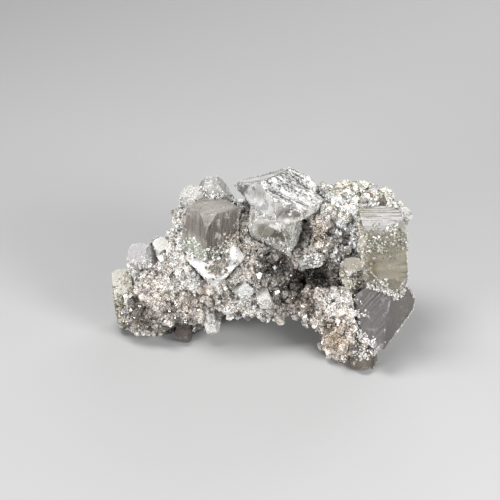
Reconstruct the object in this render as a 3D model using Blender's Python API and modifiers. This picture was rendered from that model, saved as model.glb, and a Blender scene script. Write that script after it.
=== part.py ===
"""Apophyllite cluster: large tetragonal crystals in a lumpy matrix crusted with small blocky crystals.

The matrix stands on three broken-flat feet with an arch under its front, and holds the large crystals in
close sockets.  Every length below is in millimetres, in a frame with X to the right, Y to the back and Z up
from the floor; the finished objects are in metres, with the origin under the middle of the whole cluster.
"""

import math
import random
from dataclasses import dataclass

import bmesh
import bpy
from mathutils import Matrix, Vector
from mathutils.bvhtree import BVHTree

MM = 0.001
CLUSTER = "apophyllite_cluster"

SOCKET_GAP = 0.3        # clearance between a crystal and whatever it is seated in
PYRAMID_SLOPE = 60.0    # degrees from the basal plane to a pyramid face of apophyllite
STOCK = 60.0            # half side of the block that every crystal is cleaved from
SAME_POINT = 1e-7       # corners closer than this, in metres, count as one when a crystal is cleaved

VOXEL = 1.3             # cell size used to merge the lumps into one mass
CREASE_BLENDING = 5     # rounds of smoothing where lump meets lump
MASS_TRIANGLES = 1300   # faces of the merged mass before small crystals are added
SWELL = 3.4             # height of the broad uneven swells on the mass
SWELL_WIDTH = 9.0       # their width

SEED_SPACING = 3.8      # distance between neighbouring small crystals
SEED_CLEARANCE = 1.0    # no small crystal is rooted closer to a large one than this
SEED_SIZES = (1.2, 2.4)  # smallest and largest half width of a small crystal
SEED_TAPERS = (0.55, 0.95)  # half diagonal of its outer end for each unit of half width
SEED_LENGTHS = (1.7, 2.7)  # its length for each unit of half width
SEED_LEAN = 0.5         # how far it may lean from the surface's own direction, which is of length 1
SEED_FLOOR = 2.6        # no small crystal is rooted lower than this
BROKEN_SIDE = 0.35      # faces of the mass that look to the back by more than this carry none
RANDOM_START = 11


@dataclass(frozen=True)
class Lump:
    """One ellipsoid of the mass, by its centre and its radii."""

    centre: tuple
    radii: tuple


@dataclass(frozen=True)
class Crystal:
    """One tetragonal crystal: a square prism, pyramid faces across its corners and a flat face at each end.

    azimuth turns from +X towards the back and elevation rises from the floor; together they aim the long
    axis, and spin turns the crystal about it.  half_widths are the distances of the prism faces from the
    centre, top and bottom those of the end faces, and tips and feet those of the four upper and four lower
    pyramid faces.
    """

    centre: tuple
    azimuth: float
    elevation: float
    spin: float
    half_widths: tuple
    top: float
    bottom: float
    tips: tuple
    feet: tuple


def even_crystal(centre, azimuth, elevation, spin, half_widths, top, bottom, bluntness=0.84):
    """A crystal whose eight corners are all cut by the same share."""
    diagonal = math.cos(math.radians(90 - PYRAMID_SLOPE)) * sum(half_widths) / math.sqrt(2)
    rise = math.sin(math.radians(90 - PYRAMID_SLOPE))
    tips = (bluntness * (diagonal + rise * top),) * 4
    feet = (bluntness * (diagonal + rise * bottom),) * 4
    return Crystal(centre, azimuth, elevation, spin, half_widths, top, bottom, tips, feet)


LUMPS = {
    "left_lobe": Lump((-37.5, 3, 10), (11.5, 14, 11.5)),
    "left_shoulder": Lump((-34, 3.5, 21.5), (9.5, 11, 9)),
    "left_waist": Lump((-21.5, 4, 26.5), (13, 14, 14)),
    "left_foot": Lump((-27, 2.5, 8.5), (13, 10, 10)),
    "dome_seat": Lump((-18, 6, 40), (11.5, 10, 11)),
    "middle": Lump((-4, 4, 24.5), (16, 15, 14)),
    "brow": Lump((-1, -1, 16.5), (27, 10, 7.5)),
    "crown_seat": Lump((7, 8, 37), (16, 11, 12)),
    "crown_flank": Lump((19.8, 13.8, 48.3), (6.5, 6, 6.5)),
    "right_middle": Lump((18, 4.5, 29), (14, 13, 15)),
    "right_top": Lump((29.5, 8, 45), (14, 9, 8.5)),
    "right_back": Lump((36, 6, 29), (10.5, 11, 14)),
    "right_hip": Lump((21.5, -6, 17), (10, 11.5, 10.5)),
    "right_foot": Lump((27.5, -13.5, 7), (8, 8.5, 8.5)),
    "right_heel": Lump((30, 7, 10), (12, 14, 12)),
    "back": Lump((0, 14, 12), (36, 9, 15)),
}

HOLLOWS = {
    "arch": Lump((0, -17, -4), (23, 18, 12.5)),
    "pocket": Lump((19.5, -9.5, 28.5), (8.5, 9, 5)),
    "pocket_throat": Lump((13.2, -7, 27), (2.8, 9, 6)),
    "notch": Lump((12.5, -3, 40.5), (4.5, 8.5, 5.5)),
    "left_pit": Lump((-40.5, -11, 18), (3.4, 5, 1.6)),
}

BROKEN_FACES = {
    "back": ((0, 20.5, 20), (0.05, 1, 0.12)),
    "back_left": ((-34, 14, 12), (-0.55, 0.8, 0.1)),
    "back_right": ((36, 17.5, 24), (0.5, 0.85, -0.05)),
    "back_top": ((6, 15, 44), (-0.1, 0.72, 0.62)),
}

CROWN = Crystal(
    (3.8, 2, 53), -10.7, 53.6, 21.3, (10, 23.3), 5.2, 7, (6.7, 15.6, 11.8, 15.8), (14.1, 7.3, 9, 18.9)
)
CROWN_BLOCK = Crystal(
    (3.9, 1.8, 42.8), -131.3, 71.5, -74.7, (6.5, 6.5), 8.8, 8, (10.7, 12.2, 8.1, 9.3), (21, 11.2, 16.2, 9.5)
)

CRYSTALS = {
    "dome_crystal": Crystal(
        (-17.5, -4, 44), 72.3, 80.3, -121.4, (6.8, 6.1), 8.1, 8,
        (9.6, 9.9, 9.7, 15.7), (19.2, 17.9, 22.3, 16.3),
    ),
    "peak_crystal": Crystal((-16.7, 8, 46.8), 180, 86, 45, (5.6, 5.6), 8.5, 6, (5.9,) * 4, (7,) * 4),
    "shoulder_crystal": even_crystal((-23, 5, 49.2), -150, 78, 20, (3.3, 3.3), 3.5, 5),
    "prism_crystal": Crystal(
        (38.2, -10, 42), 125, 82.2, 149, (6.6, 8), 9.7, 26, (11, 15.6, 23, 11), (9.5, 19, 10.8, 13.2)
    ),
    "slab_crystal": Crystal(
        (37.8, -12, 17.3), -132.2, 20.7, 8.2, (8.4, 10.4), 7.2, 8,
        (13.9, 9.4, 24, 15.2), (12.1, 18.6, 24.7, 8.5),
    ),
    "foot_crystal": even_crystal((33, -19.4, 5.2), -95, -60, 40, (3.3, 3.3), 5.4, 5.6),
    "end_crystal": even_crystal((-40.2, 1, 29.2), -140, 48, 30, (3.7, 3.4), 3.7, 5),
    "white_crystal": even_crystal((-34.2, 2, 32.4), -80, 60, 25, (2.3, 2.3), 2.6, 4),
    "side_crystal": even_crystal((-47.2, 1.5, 11.8), 180, 86, 8, (5.4, 3.2), 8.4, 9.4, 0.88),
    "cradle_crystal": even_crystal((-16, -6.5, 34.2), -90, 38, 45, (7.1, 7.1), 4.6, 4, 0.76),
    "ledge_crystal": even_crystal((15.4, -9.6, 35), 4, 8, 20, (1.7, 1.5), 3.2, 4.2, 0.8),
    "corner_crystal": even_crystal((44.4, 3, 43), -20, 50, 15, (2.3, 2.3), 4, 5, 0.8),
    "beige_crystal": even_crystal((28.9, -8.6, 28.6), -95, 80, 28, (3.0, 3.2), 5.2, 6),
    "cube_crystal": even_crystal((-6.8, -10.6, 23.8), -75, 30, 40, (2.4, 2.3), 2.6, 4, 0.82),
    "clear_crystal": even_crystal((0.2, -11, 20.6), -80, -12, 20, (2.2, 2.2), 2.2, 4, 0.8),
    "bead_crystal": even_crystal((-17.4, -7.6, 7.6), -80, -42, 30, (1.9, 1.9), 3.2, 4, 0.78),
    "smoky_crystal": even_crystal((-26.6, -5.6, 4.2), -104, -34, 10, (2.4, 2.0), 4.4, 4, 0.86),
}

MATERIALS = {
    "druse": ((0.62, 0.59, 0.56), 0.55, 0.0),
    "clear": ((0.93, 0.94, 0.93), 0.06, 1.0),
    "cloudy": ((0.74, 0.71, 0.73), 0.30, 0.6),
    "tinted": ((0.80, 0.78, 0.68), 0.18, 0.8),
    "smoky": ((0.30, 0.26, 0.24), 0.20, 0.7),
}
FINISH = {
    "crown_crystal": "clear",
    "dome_crystal": "cloudy",
    "peak_crystal": "clear",
    "shoulder_crystal": "clear",
    "prism_crystal": "tinted",
    "slab_crystal": "cloudy",
    "foot_crystal": "tinted",
    "end_crystal": "cloudy",
    "side_crystal": "cloudy",
    "white_crystal": "cloudy",
    "cradle_crystal": "clear",
    "ledge_crystal": "clear",
    "corner_crystal": "clear",
    "beige_crystal": "tinted",
    "cube_crystal": "clear",
    "clear_crystal": "clear",
    "bead_crystal": "clear",
    "smoky_crystal": "smoky",
    "druse_matrix": "druse",
}


def clear_scene():
    """Removes every object of the file that the script is run in."""
    for thing in list(bpy.data.objects):
        bpy.data.objects.remove(thing)


def new_collection(name):
    """A collection of that name, linked to the scene."""
    collection = bpy.data.collections.new(name)
    bpy.context.scene.collection.children.link(collection)
    return collection


def as_object(name, shape, collection):
    """Writes a bmesh, which it frees, into a new object of the collection."""
    mesh = bpy.data.meshes.new(name)
    shape.to_mesh(mesh)
    shape.free()
    thing = bpy.data.objects.new(name, mesh)
    collection.objects.link(thing)
    return thing


def as_helper(thing):
    """Marks an object as a cutter or guide, which no render shows."""
    thing.hide_render = True
    thing.display_type = "WIRE"
    return thing


def apply_modifiers(thing):
    """Replaces an object's mesh by what its modifiers make of it."""
    bpy.context.view_layer.update()
    evaluated = thing.evaluated_get(bpy.context.evaluated_depsgraph_get())
    finished = bpy.data.meshes.new_from_object(evaluated)
    thing.modifiers.clear()
    thing.data = finished


def boolean(thing, operation, other, self_crossing=False):
    """Cuts, joins or keeps what thing shares with other, and applies it."""
    modifier = thing.modifiers.new(operation.lower(), "BOOLEAN")
    modifier.operation = operation
    modifier.solver = "EXACT"
    modifier.object = other
    modifier.use_self = self_crossing
    apply_modifiers(thing)


def axes_of(crystal):
    """The crystal's own x, y and long axis as the rows of a rotation."""
    azimuth, elevation, spin = (math.radians(a) for a in (crystal.azimuth, crystal.elevation, crystal.spin))
    level = math.cos(elevation)
    long_axis = Vector((level * math.cos(azimuth), level * math.sin(azimuth), math.sin(elevation)))
    across = Vector((0, 0, 1)).cross(long_axis).normalized()
    beside = long_axis.cross(across)
    x_axis = across * math.cos(spin) + beside * math.sin(spin)
    return x_axis, long_axis.cross(x_axis), long_axis


def faces_of(crystal):
    """The outward direction and the distance from the centre of each face."""
    x_axis, y_axis, long_axis = axes_of(crystal)
    wide, deep = crystal.half_widths
    faces = [(x_axis, wide), (-x_axis, wide), (y_axis, deep), (-y_axis, deep)]
    faces += [(long_axis, crystal.top), (-long_axis, crystal.bottom)]
    lean = math.radians(90 - PYRAMID_SLOPE)
    for corner in range(4):
        turn = math.radians(45 + 90 * corner)
        outward = (x_axis * math.cos(turn) + y_axis * math.sin(turn)) * math.cos(lean)
        faces.append((outward + long_axis * math.sin(lean), crystal.tips[corner]))
        faces.append((outward - long_axis * math.sin(lean), crystal.feet[corner]))
    return faces


def crystal_shape(crystal, grown=0.0):
    """The crystal cleaved from a block, one cut for each face; grown moves every face outwards."""
    shape = bmesh.new()
    centre = Vector(crystal.centre)
    bmesh.ops.create_cube(shape, size=2 * STOCK * MM, matrix=Matrix.Translation(centre * MM))
    for outward, distance in faces_of(crystal):
        cleave(shape, (centre + outward * (distance + grown)) * MM, outward)
    return shape


def cleave(shape, point, outward):
    """Cuts off what lies beyond a plane and closes the cut with one flat face."""
    everything = shape.verts[:] + shape.edges[:] + shape.faces[:]
    cut = bmesh.ops.bisect_plane(
        shape, geom=everything, plane_co=point, plane_no=outward, clear_outer=True, dist=SAME_POINT
    )
    rim = [piece for piece in cut["geom_cut"] if isinstance(piece, bmesh.types.BMEdge)]
    if rim:
        bmesh.ops.edgeloop_fill(shape, edges=rim)
        bmesh.ops.recalc_face_normals(shape, faces=shape.faces[:])


def ellipsoid(shape, lump, subdivisions=3):
    """Adds a lump to a bmesh as an icosphere stretched to its radii."""
    stretch = Matrix.Diagonal((*(r * MM for r in lump.radii), 1))
    place = Matrix.Translation(Vector(lump.centre) * MM) @ stretch
    bmesh.ops.create_icosphere(shape, subdivisions=subdivisions, radius=1, matrix=place)


def merged_mass(collection):
    """The lumps merged into one mass, with broad swells over its surface."""
    shape = bmesh.new()
    for lump in LUMPS.values():
        ellipsoid(shape, lump)
    mass = as_object("druse_matrix", shape, collection)
    remesh = mass.modifiers.new("merge", "REMESH")
    remesh.mode = "VOXEL"
    remesh.voxel_size = VOXEL * MM
    blend = mass.modifiers.new("blend", "SMOOTH")
    blend.iterations = CREASE_BLENDING
    swells = bpy.data.textures.new("swells", "CLOUDS")
    swells.noise_scale = SWELL_WIDTH * MM
    swells.noise_depth = 2
    displace = mass.modifiers.new("swells", "DISPLACE")
    displace.texture = swells
    displace.texture_coords = "LOCAL"
    displace.strength = SWELL * MM
    apply_modifiers(mass)
    break_off(mass)
    thin = mass.modifiers.new("thin", "DECIMATE")
    thin.ratio = MASS_TRIANGLES / sum(len(face.vertices) - 2 for face in mass.data.polygons)
    apply_modifiers(mass)
    return mass


def break_off(mass):
    """Breaks the back of the mass along its flat faces, which carry no crystals."""
    shape = bmesh.new()
    shape.from_mesh(mass.data)
    for point, outward in BROKEN_FACES.values():
        cleave(shape, Vector(point) * MM, Vector(outward).normalized())
    shape.to_mesh(mass.data)
    shape.free()


def carve_hollows(mass, cutters):
    """Cuts the arch under the front and the pockets out of the mass."""
    for name, lump in HOLLOWS.items():
        shape = bmesh.new()
        ellipsoid(shape, lump, subdivisions=2)
        boolean(mass, "DIFFERENCE", as_helper(as_object(name + "_cutter", shape, cutters)))


def inside(crystal, point, margin):
    """True if the point is within the crystal grown by margin."""
    offset = point - Vector(crystal.centre)
    return all(offset.dot(outward) < distance + margin for outward, distance in faces_of(crystal))


def seed_places(mass):
    """Points spread over the grown sides of the mass with outward directions, clear of large crystals."""
    large = [CROWN, CROWN_BLOCK, *CRYSTALS.values()]
    faces = [(face.center / MM, face.normal.copy()) for face in mass.data.polygons]
    random.Random(RANDOM_START).shuffle(faces)
    places = []
    for point, outward in faces:
        bare = point.z < SEED_FLOOR or outward.y > BROKEN_SIDE
        crowded = any((point - other).length < SEED_SPACING for other, _ in places)
        if bare or crowded or any(inside(crystal, point, SEED_CLEARANCE) for crystal in large):
            continue
        places.append((point, outward))
    print("small crystals:", len(places))
    return places


def seed_crystals(mass, cutters):
    """One mesh of the small four-sided crystals that crust the mass, each rooted along its surface."""
    chance = random.Random(RANDOM_START)
    shape = bmesh.new()
    for point, outward in seed_places(mass):
        half_width = chance.uniform(*SEED_SIZES)
        lean = Vector([chance.uniform(-SEED_LEAN, SEED_LEAN) for _ in range(3)])
        turn = (outward + lean).to_track_quat("Z", "Y").to_matrix().to_4x4()
        place = Matrix.Translation(point * MM) @ turn @ Matrix.Rotation(chance.uniform(0, math.pi), 4, "Z")
        bmesh.ops.create_cone(
            shape,
            cap_ends=True,
            segments=4,
            radius1=half_width * math.sqrt(2) * MM,
            radius2=half_width * chance.uniform(*SEED_TAPERS) * MM,
            depth=half_width * chance.uniform(*SEED_LENGTHS) * MM,
            matrix=place,
        )
    return as_helper(as_object("seeds", shape, cutters))


def floor_cutter(cutters):
    """A block whose top is the floor."""
    shape = bmesh.new()
    below = Matrix.Translation(Vector((0, 0, -STOCK)) * MM)
    bmesh.ops.create_cube(shape, size=2 * STOCK * MM, matrix=below)
    return as_helper(as_object("floor_cutter", shape, cutters))


def grown_crystals(crystals, name, cutters):
    """Helpers that are the crystals grown by the socket gap, one for each, for cutting what they sit in."""
    made = []
    for number, crystal in enumerate(crystals):
        shape = crystal_shape(crystal, SOCKET_GAP)
        made.append(as_helper(as_object(f"{name}_socket_{number}", shape, cutters)))
    return made


def large_crystals(collection, cutters, floor):
    """Every large crystal as its own object, each cut back from the ones made before it."""
    crown = as_object("crown_crystal", crystal_shape(CROWN), collection)
    block = as_helper(as_object("crown_block", crystal_shape(CROWN_BLOCK), cutters))
    boolean(crown, "UNION", block)
    sockets = grown_crystals([CROWN, CROWN_BLOCK], "crown", cutters)
    for name, crystal in CRYSTALS.items():
        thing = as_object(name, crystal_shape(crystal), collection)
        tree = surface_of(thing)
        for cutter in sockets:
            if tree.overlap(surface_of(cutter)):
                boolean(thing, "DIFFERENCE", cutter)
        if lowest(thing) < 0:
            boolean(thing, "DIFFERENCE", floor)
        sockets += grown_crystals([crystal], name, cutters)
    return sockets


def all_in_one(cutters):
    """The first of the cutters, enlarged by all the others."""
    whole = cutters[0]
    for other in cutters[1:]:
        boolean(whole, "UNION", other)
    return whole


def surface_of(thing):
    """A search tree of an object's faces, in its own frame, which is the cluster's."""
    shape = bmesh.new()
    shape.from_mesh(thing.data)
    tree = BVHTree.FromBMesh(shape)
    shape.free()
    return tree


def lowest(thing):
    """The height of an object's lowest corner."""
    return min(corner.co.z for corner in thing.data.vertices)


def keep_largest(thing):
    """Drops crumbs that the cuts left loose, and keeps the body with the most faces."""
    shape = bmesh.new()
    shape.from_mesh(thing.data)
    left = set(shape.verts)
    bodies = []
    while left:
        body, edge = set(), [left.pop()]
        while edge:
            corner = edge.pop()
            body.add(corner)
            near = {side.other_vert(corner) for side in corner.link_edges} & left
            left -= near
            edge.extend(near)
        bodies.append(body)
    bodies.sort(key=len)
    bmesh.ops.delete(shape, geom=[corner for body in bodies[:-1] for corner in body], context="VERTS")
    shape.to_mesh(thing.data)
    shape.free()


def paint(thing):
    """Gives an object its finish, with flat faces."""
    colour, roughness, clearness = MATERIALS[FINISH[thing.name]]
    material = bpy.data.materials.get(FINISH[thing.name]) or bpy.data.materials.new(FINISH[thing.name])
    material.use_nodes = True
    shader = material.node_tree.nodes["Principled BSDF"]
    shader.inputs["Base Color"].default_value = (*colour, 1)
    shader.inputs["Roughness"].default_value = roughness
    shader.inputs["Transmission Weight"].default_value = clearness
    thing.data.materials.clear()
    thing.data.materials.append(material)
    thing.data.shade_flat()


def centre_on_base(things):
    """Moves every mesh so that the origin lies on the floor, under the middle of the whole cluster."""
    corners = [corner.co for thing in things for corner in thing.data.vertices]
    low = Vector([min(corner[i] for corner in corners) for i in range(3)])
    high = Vector([max(corner[i] for corner in corners) for i in range(3)])
    middle = (low + high) / 2
    shift = Matrix.Translation(-Vector((middle.x, middle.y, low.z)))
    print("origin moved by", *(round(v / MM, 2) for v in shift.translation), "mm")
    for thing in things:
        thing.data.transform(shift)


def main():
    """Builds the whole cluster."""
    clear_scene()
    cluster = new_collection(CLUSTER)
    cutters = new_collection("cutters")
    floor = floor_cutter(cutters)
    sockets = large_crystals(cluster, cutters, floor)
    matrix = merged_mass(cluster)
    carve_hollows(matrix, cutters)
    boolean(matrix, "UNION", seed_crystals(matrix, cutters), self_crossing=True)
    boolean(matrix, "DIFFERENCE", all_in_one(sockets), self_crossing=True)
    boolean(matrix, "DIFFERENCE", floor)
    keep_largest(matrix)
    for thing in cluster.objects:
        paint(thing)
    centre_on_base(cluster.objects)


main()
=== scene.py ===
"""Looks of an apophyllite cluster: a crust of many thousand small crystals on a lumpy, broken matrix, and the
large clear, pearly and greenish tetragonal crystals seated in it.

Shapes are worked out in millimetres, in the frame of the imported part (X right, Y to the broken back, Z up
from the floor), and turned into metres when a mesh is written.
"""

import logging
import math
from dataclasses import dataclass, fields
from enum import Enum

import bpy
import numpy as np
from mathutils import Vector
from mathutils.kdtree import KDTree
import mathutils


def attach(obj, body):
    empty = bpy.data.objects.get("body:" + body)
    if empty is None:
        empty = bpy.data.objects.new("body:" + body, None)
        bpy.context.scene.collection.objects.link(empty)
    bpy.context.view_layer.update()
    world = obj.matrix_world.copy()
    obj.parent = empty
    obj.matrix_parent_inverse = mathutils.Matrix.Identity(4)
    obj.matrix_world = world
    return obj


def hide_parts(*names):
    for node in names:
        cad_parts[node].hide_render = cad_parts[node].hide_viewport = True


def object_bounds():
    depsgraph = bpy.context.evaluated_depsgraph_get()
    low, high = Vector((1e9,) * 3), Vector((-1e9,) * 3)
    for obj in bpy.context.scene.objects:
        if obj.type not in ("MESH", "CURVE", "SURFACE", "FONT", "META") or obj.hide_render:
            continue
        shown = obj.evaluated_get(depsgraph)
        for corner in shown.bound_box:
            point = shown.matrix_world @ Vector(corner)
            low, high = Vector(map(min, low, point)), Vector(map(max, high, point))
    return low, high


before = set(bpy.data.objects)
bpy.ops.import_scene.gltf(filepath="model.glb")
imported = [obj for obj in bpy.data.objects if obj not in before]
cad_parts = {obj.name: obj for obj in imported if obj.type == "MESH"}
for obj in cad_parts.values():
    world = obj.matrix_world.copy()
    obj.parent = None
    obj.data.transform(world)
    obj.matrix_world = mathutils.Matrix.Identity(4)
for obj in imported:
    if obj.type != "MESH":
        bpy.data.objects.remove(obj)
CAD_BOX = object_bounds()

LOG = logging.getLogger("apophyllite_cluster")
MM = 0.001
FAR = 1e9
MATRIX_NODE = "druse_matrix"
# The angles in degrees up to which neighbouring triangles are shaded as one.
ROCK_ANGLE, CRYSTAL_ANGLE, VEIL_ANGLE = 60, 14, 40
Array = np.ndarray
Colour = tuple[float, float, float]
Place = tuple[float, float, float]
Pair = tuple[float, float]


# ---------------------------------------------------------------- numbers spread over space


def lattice(cells: Array, seed: int) -> Array:
    """A fixed random value from 0 to 1 for each cell: its three whole numbers multiplied, added and mixed.

    Args:
        cells: whole-number cell positions, shape (..., 3).
        seed: which set of random values.

    Returns:
        One value for each cell.
    """
    mixed = cells[..., 0] * 374761393 + cells[..., 1] * 668265263 + cells[..., 2] * 1442695041 + seed * 974711
    mixed = (mixed ^ (mixed >> 13)) * 1274126177
    return ((mixed ^ (mixed >> 16)) & 0xFFFF) / 65535.0


def noise(points: Array, width: float, seed: int) -> Array:
    """Smooth noise from -1 to 1: the values of a cell's eight corners, blended by 3 t^2 - 2 t^3 each way.

    Args:
        points: places, shape (n, 3).
        width: size of a cell, in the unit of the places.
        seed: which set of random values.

    Returns:
        One value for each place.
    """
    scaled = points / width
    cell = np.floor(scaled).astype(np.int64)
    part = scaled - cell
    part = part * part * (3 - 2 * part)
    total = np.zeros(len(points))
    for corner in np.ndindex(2, 2, 2):
        step = np.array(corner)
        total += np.prod(np.where(step == 1, part, 1 - part), axis=-1) * lattice(cell + step, seed)
    return total * 2 - 1


def layered(points: Array, width: float, seed: int, layers: int = 3) -> Array:
    """Noise at a width plus half of it at half the width, and so on; mostly from -1 to 1.

    Args:
        points: places, shape (n, 3).
        width: widest cell.
        seed: which set of random values.
        layers: how many widths are added.

    Returns:
        One value for each place.
    """
    return sum(noise(points, width / 2**k, seed + k) / 2**k for k in range(layers)) / 1.5


def wobble(points: Array, width: float, seed: int) -> Array:
    """Three independent layered noises for each place, as an offset that makes a round outline ragged."""
    return np.stack([layered(points, width, seed + k) for k in range(3)], axis=1)


def smooth_step(low: float, high: float, value: Array) -> Array:
    """0 below low, 1 above high, and 3 t^2 - 2 t^3 between them."""
    t = np.clip((value - low) / (high - low), 0, 1)
    return t * t * (3 - 2 * t)


def unit(vectors: Array) -> Array:
    """The same directions with length 1."""
    return vectors / np.maximum(np.linalg.norm(vectors, axis=-1, keepdims=True), 1e-12)


def linear(colour: Colour) -> tuple[float, float, float, float]:
    """A colour as it is seen on a screen, turned into the light values that a shader takes."""
    return (*(c / 12.92 if c < 0.04045 else ((c + 0.055) / 1.055) ** 2.4 for c in colour), 1.0)


def light_of(colour: Colour) -> Array:
    """The light values of a colour as an array of three."""
    return np.array(linear(colour)[:3])


# ---------------------------------------------------------------- surfaces made of triangles


def sides_of(triangles: Array) -> Array:
    """Each triangle's three sides in turn, as two point numbers in rising order, shape (3 n, 2)."""
    return np.sort(triangles[:, [[0, 1], [1, 2], [2, 0]]].reshape(-1, 2), axis=1)


@dataclass
class Surface:
    """A surface of triangles: its points in millimetres and the three point numbers of each triangle."""

    points: Array
    triangles: Array

    def corners(self) -> Array:
        """The places of each triangle's three corners, shape (n, 3, 3)."""
        return self.points[self.triangles]

    def crosses(self) -> Array:
        """Each triangle's cross product of two sides: it points outwards and its length is twice the area."""
        a, b, c = np.moveaxis(self.corners(), 1, 0)
        return np.cross(b - a, c - a)

    def outward(self) -> Array:
        """For each point the mean direction of the triangles around it."""
        total = np.zeros_like(self.points)
        for side in range(3):
            np.add.at(total, self.triangles[:, side], self.crosses())
        return unit(total)

    def relax(self, share: Array | float, rounds: int) -> None:
        """Moves points towards the mean of their neighbours.

        Args:
            share: how far of the way each point goes in a round, from 0 to 1.
            rounds: how often.
        """
        edges = np.unique(sides_of(self.triangles), axis=0)
        count = np.bincount(edges.ravel(), minlength=len(self.points))[:, None]
        share = np.broadcast_to(np.asarray(share, float).reshape(-1, 1), (len(self.points), 1))
        for _ in range(rounds):
            total = np.zeros_like(self.points)
            np.add.at(total, edges[:, 0], self.points[edges[:, 1]])
            np.add.at(total, edges[:, 1], self.points[edges[:, 0]])
            self.points = self.points + share * (total / np.maximum(count, 1) - self.points)

    def holds(self, places: Array, at_once: int = 4000) -> Array:
        """Which places are inside: seen from there, the solid angles of all triangles add up to a full turn.

        Args:
            places: shape (n, 3).
            at_once: about how many are worked out together.

        Returns:
            True or False for each place.
        """
        inside = np.zeros(len(places), bool)
        low, high = self.points.min(0), self.points.max(0)
        near = np.flatnonzero(np.all((places > low) & (places < high), axis=1))
        for part in np.array_split(near, max(1, len(near) // at_once)):
            a, b, c = (corner[None] - places[part][:, None] for corner in np.moveaxis(self.corners(), 1, 0))
            la, lb, lc = (np.linalg.norm(v, axis=-1) for v in (a, b, c))
            volume = np.einsum("nti,nti->nt", a, np.cross(b, c))
            rest = la * lb * lc + (a * b).sum(-1) * lc + (b * c).sum(-1) * la + (c * a).sum(-1) * lb
            inside[part] = np.abs(np.arctan2(volume, rest).sum(1)) > math.pi
        return inside


def mesh_surface(mesh: bpy.types.Mesh) -> Surface:
    """Reads a mesh.

    Args:
        mesh: with its points in metres.

    Returns:
        Its surface in millimetres.
    """
    mesh.calc_loop_triangles()
    points = np.empty(len(mesh.vertices) * 3)
    mesh.vertices.foreach_get("co", points)
    triangles = np.empty(len(mesh.loop_triangles) * 3, np.int64)
    mesh.loop_triangles.foreach_get("vertices", triangles)
    return Surface(points.reshape(-1, 3) / MM, triangles.reshape(-1, 3))


def node_surface(name: str) -> Surface:
    """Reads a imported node, and merges the points that round to the same thousandth of a millimetre.

    Args:
        name: the node's name.

    Returns:
        Its closed surface.
    """
    loose = mesh_surface(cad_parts[name].data)
    rounded = np.round(loose.points * 1000).astype(np.int64)
    _, first, where = np.unique(rounded, axis=0, return_index=True, return_inverse=True)
    triangles = where.reshape(-1)[loose.triangles]
    a, b, c = triangles.T
    return Surface(loose.points[first], triangles[(a != b) & (b != c) & (c != a)])


def refined(surface: Surface, labels: Array, longest: float) -> tuple[Surface, Array]:
    """Halves every side that is too long, again and again, and parts the triangles that it belongs to.

    Args:
        surface: a closed surface.
        labels: a number for each triangle, which its parts inherit.
        longest: no side stays longer than this.

    Returns:
        The finer surface and its labels.
    """
    points, triangles = surface.points, surface.triangles
    while True:
        unique, where = np.unique(sides_of(triangles), axis=0, return_inverse=True)
        long = np.linalg.norm(points[unique[:, 0]] - points[unique[:, 1]], axis=1) > longest
        if not long.any():
            return Surface(points, triangles), labels
        middle = np.full(len(unique), -1)
        middle[long] = len(points) + np.arange(long.sum())
        points = np.concatenate([points, points[unique[long]].mean(1)])
        mids = middle[where.reshape(-1)].reshape(-1, 3)
        cut = (mids >= 0).sum(1)
        turn = np.where(cut == 1, np.argmax(mids >= 0, axis=1), (np.argmin(mids >= 0, axis=1) + 1) % 3)
        turn = np.where((cut == 1) | (cut == 2), turn, 0)
        order = (turn[:, None] + np.arange(3)) % 3
        # Columns 0 to 2 are the corners and 3 to 5 the middles of the sides that start at them.
        spots = np.c_[np.take_along_axis(triangles, order, 1), np.take_along_axis(mids, order, 1)]
        parts = (
            (0, ((0, 1, 2),)),
            (1, ((0, 3, 2), (3, 1, 2))),
            (2, ((0, 3, 2), (3, 4, 2), (3, 1, 4))),
            (3, ((0, 3, 5), (3, 1, 4), (5, 4, 2), (3, 4, 5))),
        )
        triangles = np.concatenate([spots[cut == k][:, part] for k, pieces in parts for part in pieces])
        labels = np.concatenate([labels[cut == k] for k, pieces in parts for _ in pieces])


def placed(name: str, data: bpy.types.ID) -> bpy.types.Object:
    """Puts a mesh, a lamp or a camera into the scene as an object at the origin."""
    thing = bpy.data.objects.new(name, data)
    bpy.context.scene.collection.objects.link(thing)
    return thing


def write_piece(
    name: str,
    surface: Surface,
    material: bpy.types.Material,
    tint: Array | None = None,
    smooth: float | None = None,
) -> bpy.types.Object:
    """Writes a surface into a new object at the origin that rides on the cluster.

    Args:
        name: the piece's name.
        surface: its shape in millimetres.
        material: its finish.
        tint: light values for each point, stored as the attribute "tint".
        smooth: the angle in degrees up to which neighbours are shaded as one; None keeps them flat.

    Returns:
        The object.
    """
    mesh = bpy.data.meshes.new(name)
    mesh.vertices.add(len(surface.points))
    mesh.vertices.foreach_set("co", (surface.points * MM).astype(np.float32).ravel())
    mesh.loops.add(surface.triangles.size)
    mesh.loops.foreach_set("vertex_index", surface.triangles.astype(np.int32).ravel())
    mesh.polygons.add(len(surface.triangles))
    mesh.polygons.foreach_set("loop_start", np.arange(0, surface.triangles.size, 3, dtype=np.int32))
    mesh.update(calc_edges=True)
    if tint is not None:
        stored = mesh.attributes.new("tint", "FLOAT_COLOR", "POINT")
        rgba = np.concatenate([tint, np.ones((len(tint), 1))], axis=1)
        stored.data.foreach_set("color", rgba.astype(np.float32).ravel())
    mesh.materials.append(material)
    if smooth is None:
        mesh.shade_flat()
    else:
        mesh.shade_smooth()
        mesh.set_sharp_from_angle(angle=math.radians(smooth))
    thing = placed(name, mesh)
    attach(thing, "root")
    LOG.info("%s: %d triangles", name, len(surface.triangles))
    return thing


# ---------------------------------------------------------------- finishes

Tree = bpy.types.NodeTree
Node = bpy.types.Node
Socket = bpy.types.NodeSocket

CRYSTAL_IOR = 1.535
# How far a bump reaches, in metres.
FINE_BUMP, ROCK_BUMP = 0.0001, 0.0003
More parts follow.
